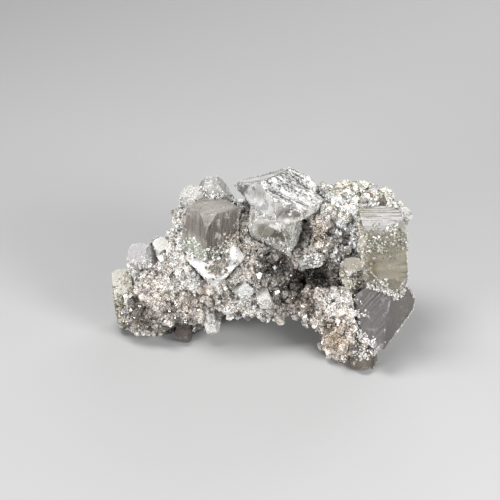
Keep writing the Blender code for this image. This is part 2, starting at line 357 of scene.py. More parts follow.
# The grain's values that give both ends of a finish's gloss, and of its crackle.
GLOSS_GRAIN, CRACKLE_GRAIN = (0.35, 0.65), (0.4, 0.6)


class Slot(Enum):
    """The material slots of the large crystals."""

    DRUSE = "druse"
    CLEAR = "clear"
    CLOUDY = "cloudy"
    TINTED = "tinted"
    SMOKY = "smoky"


def feed(tree: Tree, node: Node, values: dict[str | int, object]) -> None:
    """Gives each named or numbered input of a node its plain value, or links the socket that feeds it."""
    for name, value in values.items():
        if isinstance(value, Socket):
            tree.links.new(value, node.inputs[name])
        else:
            node.inputs[name].default_value = value


def chain(tree: Tree, kind: str, values: dict[str | int, object], **settings: object) -> Node:
    """Adds a node, sets what it is told and links or fills its inputs.

    Args:
        tree: where the node goes.
        kind: its Blender type.
        values: for each input, by name or number, a plain value or the output socket that feeds it.
        settings: properties of the node.

    Returns:
        The node.
    """
    node = tree.nodes.new(kind)
    for name, value in settings.items():
        setattr(node, name, value)
    feed(tree, node, values)
    return node


def worked(tree: Tree, operation: str, first: object, second: object) -> Socket:
    """The result of a sum, a product or another operation on two values."""
    return chain(tree, "ShaderNodeMath", {0: first, 1: second}, operation=operation).outputs[0]


def ranged(tree: Tree, value: Socket, given: Pair, wanted: Pair = (0.0, 1.0), kind: str = "LINEAR") -> Socket:
    """A value moved from the range that it is given in to the range that is wanted."""
    values = dict(enumerate((value, *given, *wanted)))
    return chain(tree, "ShaderNodeMapRange", values, interpolation_type=kind).outputs[0]


def mixed(tree: Tree, share: object, first: object, second: object, blend: str = "MIX") -> Socket:
    """Two colours mixed; the share is that of the second."""
    values = {0: share, 6: first, 7: second}
    return chain(tree, "ShaderNodeMix", values, data_type="RGBA", blend_type=blend).outputs[2]


def bumped(tree: Tree, height: Socket, strength: float, distance: float) -> Socket:
    """The direction of a surface that a height roughens."""
    values = {"Height": height, "Strength": strength, "Distance": distance}
    return chain(tree, "ShaderNodeBump", values).outputs[0]


def stored_tint(tree: Tree) -> Socket:
    """The colour that is stored on a piece's points."""
    return chain(tree, "ShaderNodeAttribute", {}, attribute_name="tint").outputs["Color"]


def flecks_group() -> Tree:
    """Shared effect: irregular flecks in Object space, as a mask, and fine grain around 0.5.

    Returns:
        The node group with inputs Size, Share and Grain Size in millimetres, and outputs Mask and Grain.
    """
    group = bpy.data.node_groups.get("flecks") or bpy.data.node_groups.new("flecks", "ShaderNodeTree")
    if group.nodes:
        return group
    for name, value in (("Size", 1.5), ("Share", 0.4), ("Grain Size", 0.3)):
        socket = group.interface.new_socket(name=name, in_out="INPUT", socket_type="NodeSocketFloat")
        socket.default_value = value
    for name in ("Mask", "Grain"):
        group.interface.new_socket(name=name, in_out="OUTPUT", socket_type="NodeSocketFloat")
    entry, leave = group.nodes.new("NodeGroupInput").outputs, group.nodes.new("NodeGroupOutput")
    place = chain(group, "ShaderNodeTexCoord", {}).outputs["Object"]
    values = {"Vector": place, "Scale": worked(group, "DIVIDE", 1 / MM, entry["Size"])}
    patches = chain(group, "ShaderNodeTexNoise", {**values, "Detail": 4.0, "Roughness": 0.65}).outputs["Fac"]
    mask = ranged(group, worked(group, "ADD", patches, entry["Share"]), (0.96, 1.06), kind="SMOOTHSTEP")
    values = {"Vector": place, "Scale": worked(group, "DIVIDE", 1 / MM, entry["Grain Size"])}
    grain = chain(group, "ShaderNodeTexNoise", {**values, "Detail": 3.0}).outputs["Fac"]
    feed(group, leave, {"Mask": mask, "Grain": grain})
    return group


def flecks(tree: Tree, size: float, share: float, grain: float) -> tuple[Socket, Socket]:
    """Places the shared flecks in a material with its own values, and gives their mask and their grain."""
    node = tree.nodes.new("ShaderNodeGroup")
    node.node_tree = flecks_group()
    feed(tree, node, {"Size": size, "Share": share, "Grain Size": grain})
    return node.outputs["Mask"], node.outputs["Grain"]


@dataclass(frozen=True)
class Finish:
    """A finish with a name; its material is built once."""

    name: str

    def material(self) -> bpy.types.Material:
        """The material: a Principled shader that the finish has dressed."""
        if self.name in bpy.data.materials:
            return bpy.data.materials[self.name]
        material = bpy.data.materials.new(self.name)
        material.use_nodes = True
        self.dress(material.node_tree, material.node_tree.nodes["Principled BSDF"])
        return material

    def dress(self, tree: Tree, shader: Node) -> None:
        """Fills and links the shader's inputs."""
        raise NotImplementedError


@dataclass(frozen=True)
class CrustFinish(Finish):
    """Finish of the small crystals: each has its own tint, dulled by grey-brown dirt in flecks.

    Clearness is the share of light let through, and smoothest and roughest are the range of the gloss.  The
    fine crackle multiplies a grain's brightness by dimmest at its darkest and by brightest at its palest.
    """

    clearness: float
    smoothest: float
    roughest: float
    # The colour of the dirt flecks.
    dirt_and_mark_shade: Colour = (0.24, 0.20, 0.17)
    dirt_size: float = 0.9
    dirt_share: float = 0.36
    dimmest: float = 0.35
    brightest: float = 1.3
    bump: float = 0.3

    def dress(self, tree: Tree, shader: Node) -> None:
        """Fills and links the shader's inputs."""
        mask, grain = flecks(tree, self.dirt_size, self.dirt_share, 0.35)
        crackle = ranged(tree, grain, CRACKLE_GRAIN, (self.dimmest, self.brightest))
        crackled = mixed(tree, 1.0, stored_tint(tree), crackle, "MULTIPLY")
        feed(tree, shader, {
            "Base Color": mixed(tree, mask, crackled, linear(self.dirt_and_mark_shade)),
            "Roughness": ranged(tree, grain, GLOSS_GRAIN, (self.smoothest, self.roughest)),
            "Normal": bumped(tree, grain, self.bump, FINE_BUMP),
            "Transmission Weight": self.clearness,
            "IOR": CRYSTAL_IOR,
        })


@dataclass(frozen=True)
class RockFinish(Finish):
    """Finish of the matrix between the crystals: grey-brown rock with pale grains."""

    dark: Colour
    pale: Colour
    patch: float = 6.0
    roughness: float = 0.75

    def dress(self, tree: Tree, shader: Node) -> None:
        """Fills and links the shader's inputs."""
        mask, grain = flecks(tree, self.patch, 0.45, 0.5)
        toned = mixed(tree, mask, linear(self.dark), linear(self.pale))
        feed(tree, shader, {
            "Base Color": mixed(tree, 1.0, toned, stored_tint(tree), "MULTIPLY"),
            "Normal": bumped(tree, grain, 0.7, ROCK_BUMP),
            "Roughness": self.roughness,
        })


@dataclass(frozen=True)
class CrystalFinish(Finish):
    """Finish of a large crystal: what it lets through and absorbs, frosted patches and fine inner specks.

    The crystal's own colour is stored on its points, because it changes over the crystal.  The specks
    multiply its brightness by dimmest at their darkest and by brightest at their palest.
    """

    clearness: float
    smoothest: float
    roughest: float
    patch: float = 4.0
    patch_share: float = 0.45
    frost: Colour = (0.9, 0.89, 0.88)
    absorbed: Colour = (0.8, 0.8, 0.74)
    absorption: float = 12.0
    dimmest: float = 0.75
    brightest: float = 1.05
    bump: float = 0.15

    def dress(self, tree: Tree, shader: Node) -> None:
        """Fills and links the shader's inputs, and gives the body its absorption."""
        mask, grain = flecks(tree, self.patch, self.patch_share, 0.35)
        crackle = ranged(tree, grain, CRACKLE_GRAIN, (self.dimmest, self.brightest))
        frosted = mixed(tree, mask, stored_tint(tree), linear(self.frost))
        feed(tree, shader, {
            "Base Color": mixed(tree, 1.0, frosted, crackle, "MULTIPLY"),
            "Roughness": ranged(tree, mask, (0.0, 1.0), (self.smoothest, self.roughest)),
            "Normal": bumped(tree, grain, self.bump, FINE_BUMP),
            "Transmission Weight": self.clearness,
            "IOR": CRYSTAL_IOR,
        })
        values = {"Color": linear(self.absorbed), "Density": self.absorption}
        body = chain(tree, "ShaderNodeVolumeAbsorption", values)
        feed(tree, tree.nodes["Material Output"], {"Volume": body.outputs[0]})


@dataclass(frozen=True)
class VeilFinish(Finish):
    """Finish of the healed cracks inside a crystal: a bright broken film that is mostly see-through."""

    pale: Colour = (0.95, 0.95, 0.96)
    dull: Colour = (0.8, 0.8, 0.8)
    patch: float = 3.0
    share: float = 0.46
    cover: float = 0.8
    roughness: float = 0.35

    def dress(self, tree: Tree, shader: Node) -> None:
        """Fills and links the shader's inputs."""
        mask, grain = flecks(tree, self.patch, self.share, 0.6)
        feed(tree, shader, {
            "Base Color": mixed(tree, grain, linear(self.pale), linear(self.dull)),
            "Alpha": worked(tree, "MULTIPLY", mask, self.cover),
            "Roughness": self.roughness,
        })


@dataclass(frozen=True)
class FloorFinish(Finish):
    """Finish of the floor: a grey with a very faint tone change."""

    dark: Colour = (0.60, 0.60, 0.60)
    pale: Colour = (0.62, 0.62, 0.62)
    roughness: float = 0.9

    def dress(self, tree: Tree, shader: Node) -> None:
        """Fills and links the shader's inputs."""
        tone = chain(tree, "ShaderNodeTexNoise", {"Scale": 3.0, "Detail": 1.0}).outputs["Fac"]
        colour = mixed(tree, tone, linear(self.dark), linear(self.pale))
        feed(tree, shader, {"Base Color": colour, "Roughness": self.roughness})


MILKY = CrustFinish("milky_grains", 0.3, 0.05, 0.28)
GLASSY = CrustFinish("glassy_grains", 0.82, 0.02, 0.12, dirt_share=0.25)
SUGAR = CrustFinish("sugar_grains", 0.3, 0.05, 0.25, dirt_share=0.2)
ROCK = RockFinish("matrix_rock", (0.74, 0.71, 0.67), (0.96, 0.95, 0.93))
CLEAR = CrystalFinish(
    "clear_crystal", 0.46, 0.02, 0.2, 4.0, 0.42, (0.98, 0.98, 0.97), absorption=4, dimmest=0.6
)
BRIGHT = CrystalFinish(
    "bright_crystal", 0.34, 0.02, 0.2, 4.0, 0.42, (1.0, 1.0, 0.99), absorption=4, dimmest=0.72
)
PEARLY = CrystalFinish("pearly_crystal", 0.35, 0.15, 0.4, 4.0, 0.3, (0.92, 0.91, 0.90), absorption=4)
DUSKY = CrystalFinish(
    "dusky_crystal", 0.4, 0.2, 0.45, 4.0, 0.4, (0.78, 0.75, 0.71), absorption=8, dimmest=0.6
)
FROSTED = CrystalFinish(
    "frosted_crystal", 0.2, 0.28, 0.5, 2.5, 0.4, (0.47, 0.455, 0.45), absorption=8, dimmest=0.7
)
GREENISH = CrystalFinish(
    "greenish_crystal", 0.5, 0.12, 0.4, 4.0, 0.38, (0.88, 0.86, 0.80), (0.80, 0.77, 0.66), absorption=8
)
SMOKY = CrystalFinish(
    "smoky_glass", 0.6, 0.08, 0.3, frost=(0.35, 0.31, 0.28), absorbed=(0.4, 0.34, 0.3), absorption=80
)
VEIL = VeilFinish("crack_film")
FLOOR = FloorFinish("pale_floor")


# ---------------------------------------------------------------- small crystals


class Habit(Enum):
    """How a small crystal ends: blocky with cut corners, pointed, or a mere chip with eight faces."""

    BLOCKY = "blocky"
    STEEP = "steep"
    POINTED = "pointed"
    CHIP = "chip"


PYRAMID_SLOPE = math.radians(60)
CORNER_CUT = {Habit.BLOCKY: 0.42, Habit.STEEP: 0.86}
# A grain's light value at its root, rising to 1 towards its end: painted shade in the gaps between the grains.
PAINTED_ROOT_SHADE = 0.6
# The darkest and the brightest light values of a grain.
GRAIN_LIGHT = (0.01, 0.94)
# The end, the middle and four corners of the unit crystal.
GRAIN_SPOTS = ((0, 0, 1), (0, 0, 0), *((x, y, 0.5) for x in (-0.8, 0.8) for y in (-0.8, 0.8)))


def habit_points(habit: Habit) -> tuple[Array, list[tuple[int, int, int]]]:
    """Works out a habit's shape, ring by ring from the root.

    Args:
        habit: which of them.

    Returns:
        Its points and its faces, whose corners may run either way round.
    """
    ring = np.array([[1, 1], [-1, 1], [-1, -1], [1, -1]], float)

    def level(flat: Array, height: float) -> Array:
        """Four points of the plane at a height."""
        return np.c_[flat, np.full(4, height)]

    following = [(k, (k + 1) % 4) for k in range(4)]
    if habit is Habit.CHIP:
        points = np.concatenate([[[0, 0, -1.0]], level(ring, 0.1), [[0, 0, 1.0]]])
        return points, [(end, 1 + k, 1 + n) for end in (0, 5) for k, n in following]
    faces = [(0, 1, 2), (0, 2, 3)]
    if habit is Habit.POINTED:
        half = (ring + np.roll(ring, -1, axis=0)) / 2
        points = np.concatenate([level(ring, -1.0), level(ring, -0.25), level(half, 0.35), [[0, 0, 1.0]]])
        for k, n in following:
            faces += [(k, n, 4 + n), (k, 4 + n, 8 + k), (k, 8 + k, 4 + k)]
            faces += [(4 + k, 8 + k, 12), (4 + k, 12, 8 + (k + 3) % 4)]
        return points, faces
    cut = CORNER_CUT[habit]
    drop = math.tan(PYRAMID_SLOPE) * cut / math.sqrt(2)
    side = (np.roll(ring, -1, axis=0) - ring) / 2
    arrive, depart = ring - cut * np.roll(side, 1, axis=0), ring + cut * side
    points = np.concatenate([level(ring, -1), level(ring, 1 - drop), level(arrive, 1), level(depart, 1)])
    for k, n in following:
        faces += [(k, n, 4 + n), (k, 4 + n, 4 + k), (4 + k, 4 + n, 8 + n), (4 + k, 8 + n, 12 + k)]
        faces += [(4 + k, 12 + k, 8 + k)]
    faces += [(8, 12, 9), (9, 13, 10), (10, 14, 11), (11, 15, 8), (8, 9, 10), (8, 10, 11)]
    return points, faces


def habit_shape(habit: Habit) -> Surface:
    """A crystal of half width 1 whose root is at z -1 and whose end is at z 1.

    A square prism stands on its root.  Pyramid faces slope across its four edges: with BLOCKY they cut a
    little off the end face's corners, with STEEP more, and with POINTED they meet in one point.  A CHIP is
    two pyramids base to base.  Each triangle is turned to face away from the middle.

    Args:
        habit: which of them.

    Returns:
        The closed surface, of 8 to 28 triangles.
    """
    points, faces = habit_points(habit)
    triangles = np.array(faces)
    a, b, c = np.moveaxis(points[triangles], 1, 0)
    inward = np.einsum("ni,ni->n", np.cross(b - a, c - a), a - points.mean(0)) < 0
    triangles[inward] = triangles[inward][:, ::-1]
    return Surface(points, triangles)


@dataclass
class Grains:
    """Many small crystals as arrays: the middle of each, its three axes, half widths, habit and colour."""

    middles: Array
    axes: Array
    sizes: Array
    habits: Array
    colours: Array

    def __len__(self) -> int:
        """How many there are."""
        return len(self.middles)

    def only(self, keep: Array) -> "Grains":
        """Those that a mask or list of numbers names."""
        return Grains(*(getattr(self, part.name)[keep] for part in fields(self)))

    def place_of(self, spot: Place) -> Array:
        """Where a point of the unit crystal lies in each of them."""
        return self.middles + np.einsum("ni,nij->nj", self.sizes * np.array(spot), self.axes)

    def surface(self) -> tuple[Surface, Array]:
        """All of them as one surface of closed bodies: each is its habit's shape scaled, turned and moved.

        Returns:
            The surface and the light values of each point, darker towards the root by painted shade between
            the grains.
        """
        points, triangles, tints, start = [], [], [], 0
        for number, habit in enumerate(Habit):
            chosen = self.only(self.habits == number)
            if not len(chosen):
                continue
            shape = habit_shape(habit)
            local = shape.points[None] * chosen.sizes[:, None]
            world = chosen.middles[:, None] + np.einsum("nvi,nij->nvj", local, chosen.axes)
            # Painted shade: each grain is darker towards its root.
            painted_shade = PAINTED_ROOT_SHADE + (1 - PAINTED_ROOT_SHADE) * smooth_step(-0.7, 0.8, shape.points[:, 2])
            points.append(world.reshape(-1, 3))
            tints.append((chosen.colours[:, None] * painted_shade[None, :, None]).reshape(-1, 3))
            step = np.arange(len(chosen))[:, None, None] * len(shape.points)
            triangles.append((shape.triangles[None] + step).reshape(-1, 3) + start)
            start += len(chosen) * len(shape.points)
        return Surface(np.concatenate(points), np.concatenate(triangles)), np.concatenate(tints)


def merged(groups: list[Grains]) -> Grains:
    """Several groups of grains as one."""
    names = [part.name for part in fields(Grains)]
    return Grains(*(np.concatenate([getattr(group, name) for group in groups]) for name in names))


def tree_of(points: Array) -> KDTree:
    """Sorts points so that the nearest to a place is found quickly.

    Args:
        points: shape (n, 3).

    Returns:
        Their search tree.
    """
    tree = KDTree(len(points))
    for number, point in enumerate(points):
        tree.insert(point, number)
    tree.balance()
    return tree


def scattered(surface: Surface, spacing: float, chance: np.random.Generator) -> tuple[Array, Array]:
    """Places spread evenly over a surface: many at random by area, then one kept in each cell of the spacing.

    Args:
        surface: where they go.
        spacing: about how far apart they are.
        chance: the source of random numbers.

    Returns:
        The places and their outward directions.
    """
    crosses = surface.crosses()
    areas = np.linalg.norm(crosses, axis=1) / 2
    count = int(areas.sum() / spacing**2 * 3)
    chosen = chance.choice(len(areas), count, p=areas / areas.sum())
    u, v = chance.random((2, count))
    flip = u + v > 1
    u, v = np.where(flip, 1 - u, u)[:, None], np.where(flip, 1 - v, v)[:, None]
    a, b, c = np.moveaxis(surface.corners()[chosen], 1, 0)
    places = a + u * (b - a) + v * (c - a)
    _, first = np.unique(np.floor(places / spacing).astype(np.int64), axis=0, return_index=True)
    first = np.sort(first)
    return places[first], unit(crosses[chosen[first]])


def turned_axes(outward: Array, lean: float, chance: np.random.Generator) -> Array:
    """Axes for crystals that stand along a direction, lean at random and are turned at random.

    Args:
        outward: the direction for each, shape (n, 3).
        lean: how far they lean, as a share of the direction's length.
        chance: the source of random numbers.

    Returns:
        Three rows for each, shape (n, 3, 3).
    """
    up = unit(outward + lean * chance.normal(size=outward.shape))
    across = unit(np.cross(up, chance.normal(size=outward.shape)))
    return np.stack([across, np.cross(up, across), up], axis=1)


# ---------------------------------------------------------------- the matrix and its crust


@dataclass(frozen=True)
class Grade:
    """One size of grain: its half widths, spacing, lean, lengths in half widths, the shares of the four
    habits, and how far its middle is raised, in half lengths."""

    widths: Pair
    spacing: float
    lean: float
    lengths: Pair
    habits: tuple[float, float, float, float]
    rise: float = -0.1


@dataclass(frozen=True)
class Patch:
    """A part of the crust with its own look: its middle and reach, and its grains' colour and size factor."""

    middle: Place
    reach: float
    colour: Colour
    size: float = 1.0


@dataclass(frozen=True)
class Pit:
    """A hole between the grains, where the rock is darkened by painted shade: its middle, radius and depth."""

    middle: Place
    radius: float
    depth: float


PATCHES = (
    Patch((27.0, 3.5, 53.2), 9, (1.0, 0.95, 0.87), 1.35),
    Patch((34.8, 1.5, 49.0), 4, (1.0, 1.0, 0.99)),
    Patch((36.2, 6.7, 52.0), 8, (1.0, 0.96, 0.89), 1.35),
    Patch((18.3, -2.2, 41.4), 5, (0.62, 0.58, 0.52), 0.9),
    Patch((27.3, 0.8, 41.3), 7, (1.0, 0.97, 0.96), 1.2),
    # The next two near-black patches fill the cavity under the ledge: painted shade.
    Patch((20.0, -3.3, 26.1), 7, (0.22, 0.20, 0.18), 0.8),
    Patch((12.8, -2.2, 23.3), 6, (0.12, 0.11, 0.10), 0.8),
    Patch((15.9, -10.3, 20.2), 5, (0.55, 0.51, 0.47), 0.9),
    Patch((24.4, -15.3, 25.6), 5, (0.82, 0.82, 0.82)),
    Patch((24.1, -17.9, 10.3), 8, (0.70, 0.63, 0.56), 1.1),
    Patch((2.7, -4.9, 31.3), 9, (0.29, 0.265, 0.245)),
    Patch((-3.2, -8.6, 19.7), 6, (0.82, 0.81, 0.79), 1.1),
    Patch((7.8, -8.2, 17.4), 6, (0.50, 0.475, 0.45), 1.1),
    Patch((-18.7, -7.5, 18.9), 7, (0.80, 0.77, 0.74), 0.9),
    Patch((-24.4, -7.5, 16.8), 4.5, (0.70, 0.65, 0.60), 0.8),
    Patch((-34.2, -4.6, 25.0), 6.5, (0.87, 0.835, 0.81), 0.8),
    Patch((-40.5, -8.3, 12.1), 8, (0.41, 0.385, 0.35), 0.9),
    # Near-black crust low at the bottom left: painted shade where the underside is in shadow, with dark smoky
    # grains.
    Patch((-29.0, -5.3, 3.3), 9, (0.10, 0.09, 0.08), 1.1),
    Patch((-28.5, 5.7, 42.0), 7, (0.92, 0.90, 0.86), 0.9),
    Patch((-8.8, -2.8, 45.0), 6, (0.70, 0.66, 0.62), 0.8),
)
PITS = (
    Pit((-19.0, -8.0, 23.4), 2.2, 2.2),
    Pit((-12.8, -7.9, 17.2), 1.4, 1.6),
    Pit((7.1, -8.1, 18.5), 2.0, 2.2),
    Pit((23.8, -3.8, 39.0), 1.8, 2.0),
    Pit((-41.5, -4.6, 16.8), 2.6, 1.8),
    Pit((-9.8, -3.3, 43.5), 1.2, 1.4),
    Pit((11.5, -4.5, 27.0), 3.0, 2.4),
    Pit((2.0, -4.5, 24.5), 1.4, 1.6),
    Pit((17.5, 1.5, 44.0), 1.3, 1.5),
    Pit((-31.0, -7.0, 14.0), 1.3, 1.4),
    Pit((-37.0, -9.0, 8.0), 1.2, 1.2),
    Pit((-38.5, -8.0, 15.5), 1.6, 1.8),
    Pit((-34.0, -7.5, 20.5), 0.9, 1.0),
    Pit((-43.5, -7.5, 9.5), 1.3, 1.4),
    Pit((-26.5, -7.5, 20.0), 1.2, 1.4),
)
BASE_COLOUR = (0.93, 0.90, 0.87)
# How ragged the patches' outlines are, how steeply they fade, and the least share of the base colour.
PATCH_RAGGED, PATCH_FADE, LEAST_BASE = 1.5, 1.3, 0.05
# Red light values up to which the crust counts as dull, and from which as bright.
DULL_BRIGHT = (0.72, 0.88)
SHALLOW_PIT = 0.25
GRADES = {
    "large": Grade((0.6, 1.1), 3.4, 0.5, (1.0, 1.5), (0.5, 0.3, 0.2, 0.0)),
    "medium": Grade((0.28, 0.6), 1.05, 0.8, (1.0, 1.9), (0.3, 0.2, 0.3, 0.2), -0.2),
    "fine": Grade((0.15, 0.32), 0.45, 1.0, (0.9, 2.0), (0.0, 0.0, 0.1, 0.9)),
}
# How deep a grain is, in half widths.
GRAIN_DEPTHS = (0.7, 1.15)
SEAM = Grade((0.22, 0.5), 0.5, 0.8, (0.9, 1.8), (0.3, 0.2, 0.3, 0.2), 0.1)
# The crust's parts from left to right: from where to where each reaches along X.
PARTS = {"left": (-FAR, -14.0), "middle": (-14.0, 14.0), "right": (14.0, FAR)}


def patch_values(places: Array) -> tuple[Array, Array]:
    """Colour and size factor at each place: the patches blended by exp(-1.3 (distance / reach)^2).

    Args:
        places: shape (n, 3).

    Returns:
        Light values, shape (n, 3), and sizes, shape (n,).
    """
    middles = np.array([patch.middle for patch in PATCHES])
    reaches = np.array([patch.reach for patch in PATCHES])
    colours = np.array([light_of(patch.colour) for patch in PATCHES])
    sizes = np.array([patch.size for patch in PATCHES])
    ragged = places + PATCH_RAGGED * wobble(places, 3.0, 40)
    gap = np.linalg.norm(ragged[:, None] - middles[None], axis=2) / reaches
    weight = np.exp(-(gap**2) * PATCH_FADE)
    spare = np.maximum(1 - weight.sum(1, keepdims=True), LEAST_BASE)
    total = weight.sum(1, keepdims=True) + spare
    colour = (weight @ colours + spare * light_of(BASE_COLOUR)) / total
    return colour, ((weight @ sizes)[:, None] + spare)[:, 0] / total[:, 0]


def crease(places: Array) -> Array:
    """Where the crust parts into lumps: 1 along the creases, 0 on the lumps.

    A crease runs wherever noise of one of two widths passes through zero.

    Args:
        places: shape (n, 3).

    Returns:
        One value for each place.
    """
    wide = 1 - smooth_step(0.0, 0.3, np.abs(noise(places, 4.6, 21)))
    narrow = 1 - smooth_step(0.0, 0.25, np.abs(noise(places, 2.3, 22)))
    return np.clip(0.75 * wide**2 + 0.45 * narrow**2, 0, 1)


def pit_depth(places: Array) -> Array:
    """How deep the pits are: depth * (1 - (r / radius)^2)^2 within each pit.

    Args:
        places: shape (n, 3).

    Returns:
        One depth for each place.
    """
    total = np.zeros(len(places))
    for pit in PITS:
        share = np.linalg.norm(places - np.array(pit.middle), axis=1) / pit.radius
        total += pit.depth * np.clip(1 - share**2, 0, 1) ** 2
    return total


@dataclass
class Matrix:
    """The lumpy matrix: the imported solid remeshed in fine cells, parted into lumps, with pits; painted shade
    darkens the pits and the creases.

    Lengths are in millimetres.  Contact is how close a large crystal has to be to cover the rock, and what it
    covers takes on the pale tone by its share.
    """

    cell: float = 0.62
    relaxed: float = 0.6
    relax_rounds: int = 3
    rough: float = 0.35
    rough_width: float = 2.6
    lump: float = 1.1
    contact: float = 0.6
    exposure: float = 1.35
    # How much painted shade darkens the rock in the pits and along the creases.
    painted_shade: float = 0.75
    pale_share: float = 0.6
    pale_tone: float = 0.8

    def build(self, large: list[Surface]) -> Surface:
        """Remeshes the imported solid, moves its points, and writes the rock.

        Args:
            large: the large crystals; the rock that one of them covers is pale.

        Returns:
            The rock's surface, for the crystals that grow on it.
        """
        rock = self.remeshed()
        rock.relax(self.relaxed, self.relax_rounds)
        self.roughen(rock)
        rock.points[:, 2] = np.maximum(rock.points[:, 2], 0)
        tint = self.tint(rock, large)
        piece = write_piece("matrix_rock", rock, ROCK.material(), tint, ROCK_ANGLE)
        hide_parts(MATRIX_NODE)
        return rock

    def remeshed(self) -> Surface:
        """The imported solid's surface made again from small cells."""
        base = node_surface(MATRIX_NODE)
        mesh = bpy.data.meshes.new("rough_rock")
        mesh.from_pydata((base.points * MM).tolist(), [], base.triangles.tolist())
        thing = placed("rough_rock", mesh)
        cells = thing.modifiers.new("cells", "REMESH")
        cells.mode = "VOXEL"
        cells.voxel_size = self.cell * MM
        bpy.context.view_layer.update()
        fine = bpy.data.meshes.new_from_object(thing.evaluated_get(bpy.context.evaluated_depsgraph_get()))
        bpy.data.objects.remove(thing)
        return mesh_surface(fine)

    def roughen(self, rock: Surface) -> None:
        """Moves points inwards by rough * (1 + noise) / 2 + pit depth + lump * crease; the feet stay flat.

        Args:
            rock: the surface that is changed.
        """
        inward = self.rough * (1 + layered(rock.points, self.rough_width, 3, 4)) / 2 + pit_depth(rock.points)
        inward += self.lump * crease(rock.points)
        lifted = smooth_step(0.15, 1.5, rock.points[:, 2])
        rock.points = rock.points - rock.outward() * (inward * lifted)[:, None]

    def tint(self, rock: Surface, large: list[Surface]) -> Array:
        """Colours the rock: darker in pits and creases by painted shade, and pale under the large crystals.

        Args:
            rock: its surface.
            large: the large crystals.

        Returns:
            Light values for its points, shape (n, 3).
        """
        colour, _ = patch_values(rock.points)
        depth = pit_depth(rock.points)
        tint = np.clip(colour * self.exposure, 0, 1)
        # Painted shade in the pits and along the creases.
        tint *= (1 - self.painted_shade * smooth_step(0.2, 1.0, depth))[:, None]
        tint *= (1 - self.painted_shade * crease(rock.points))[:, None]
        covered = np.zeros(len(rock.points), bool)
        for crystal in large:
            covered |= crystal.holds(rock.points + rock.outward() * self.contact)
        tint[covered] = (1 - self.pale_share) * tint[covered] + self.pale_share * self.pale_tone
        return tint


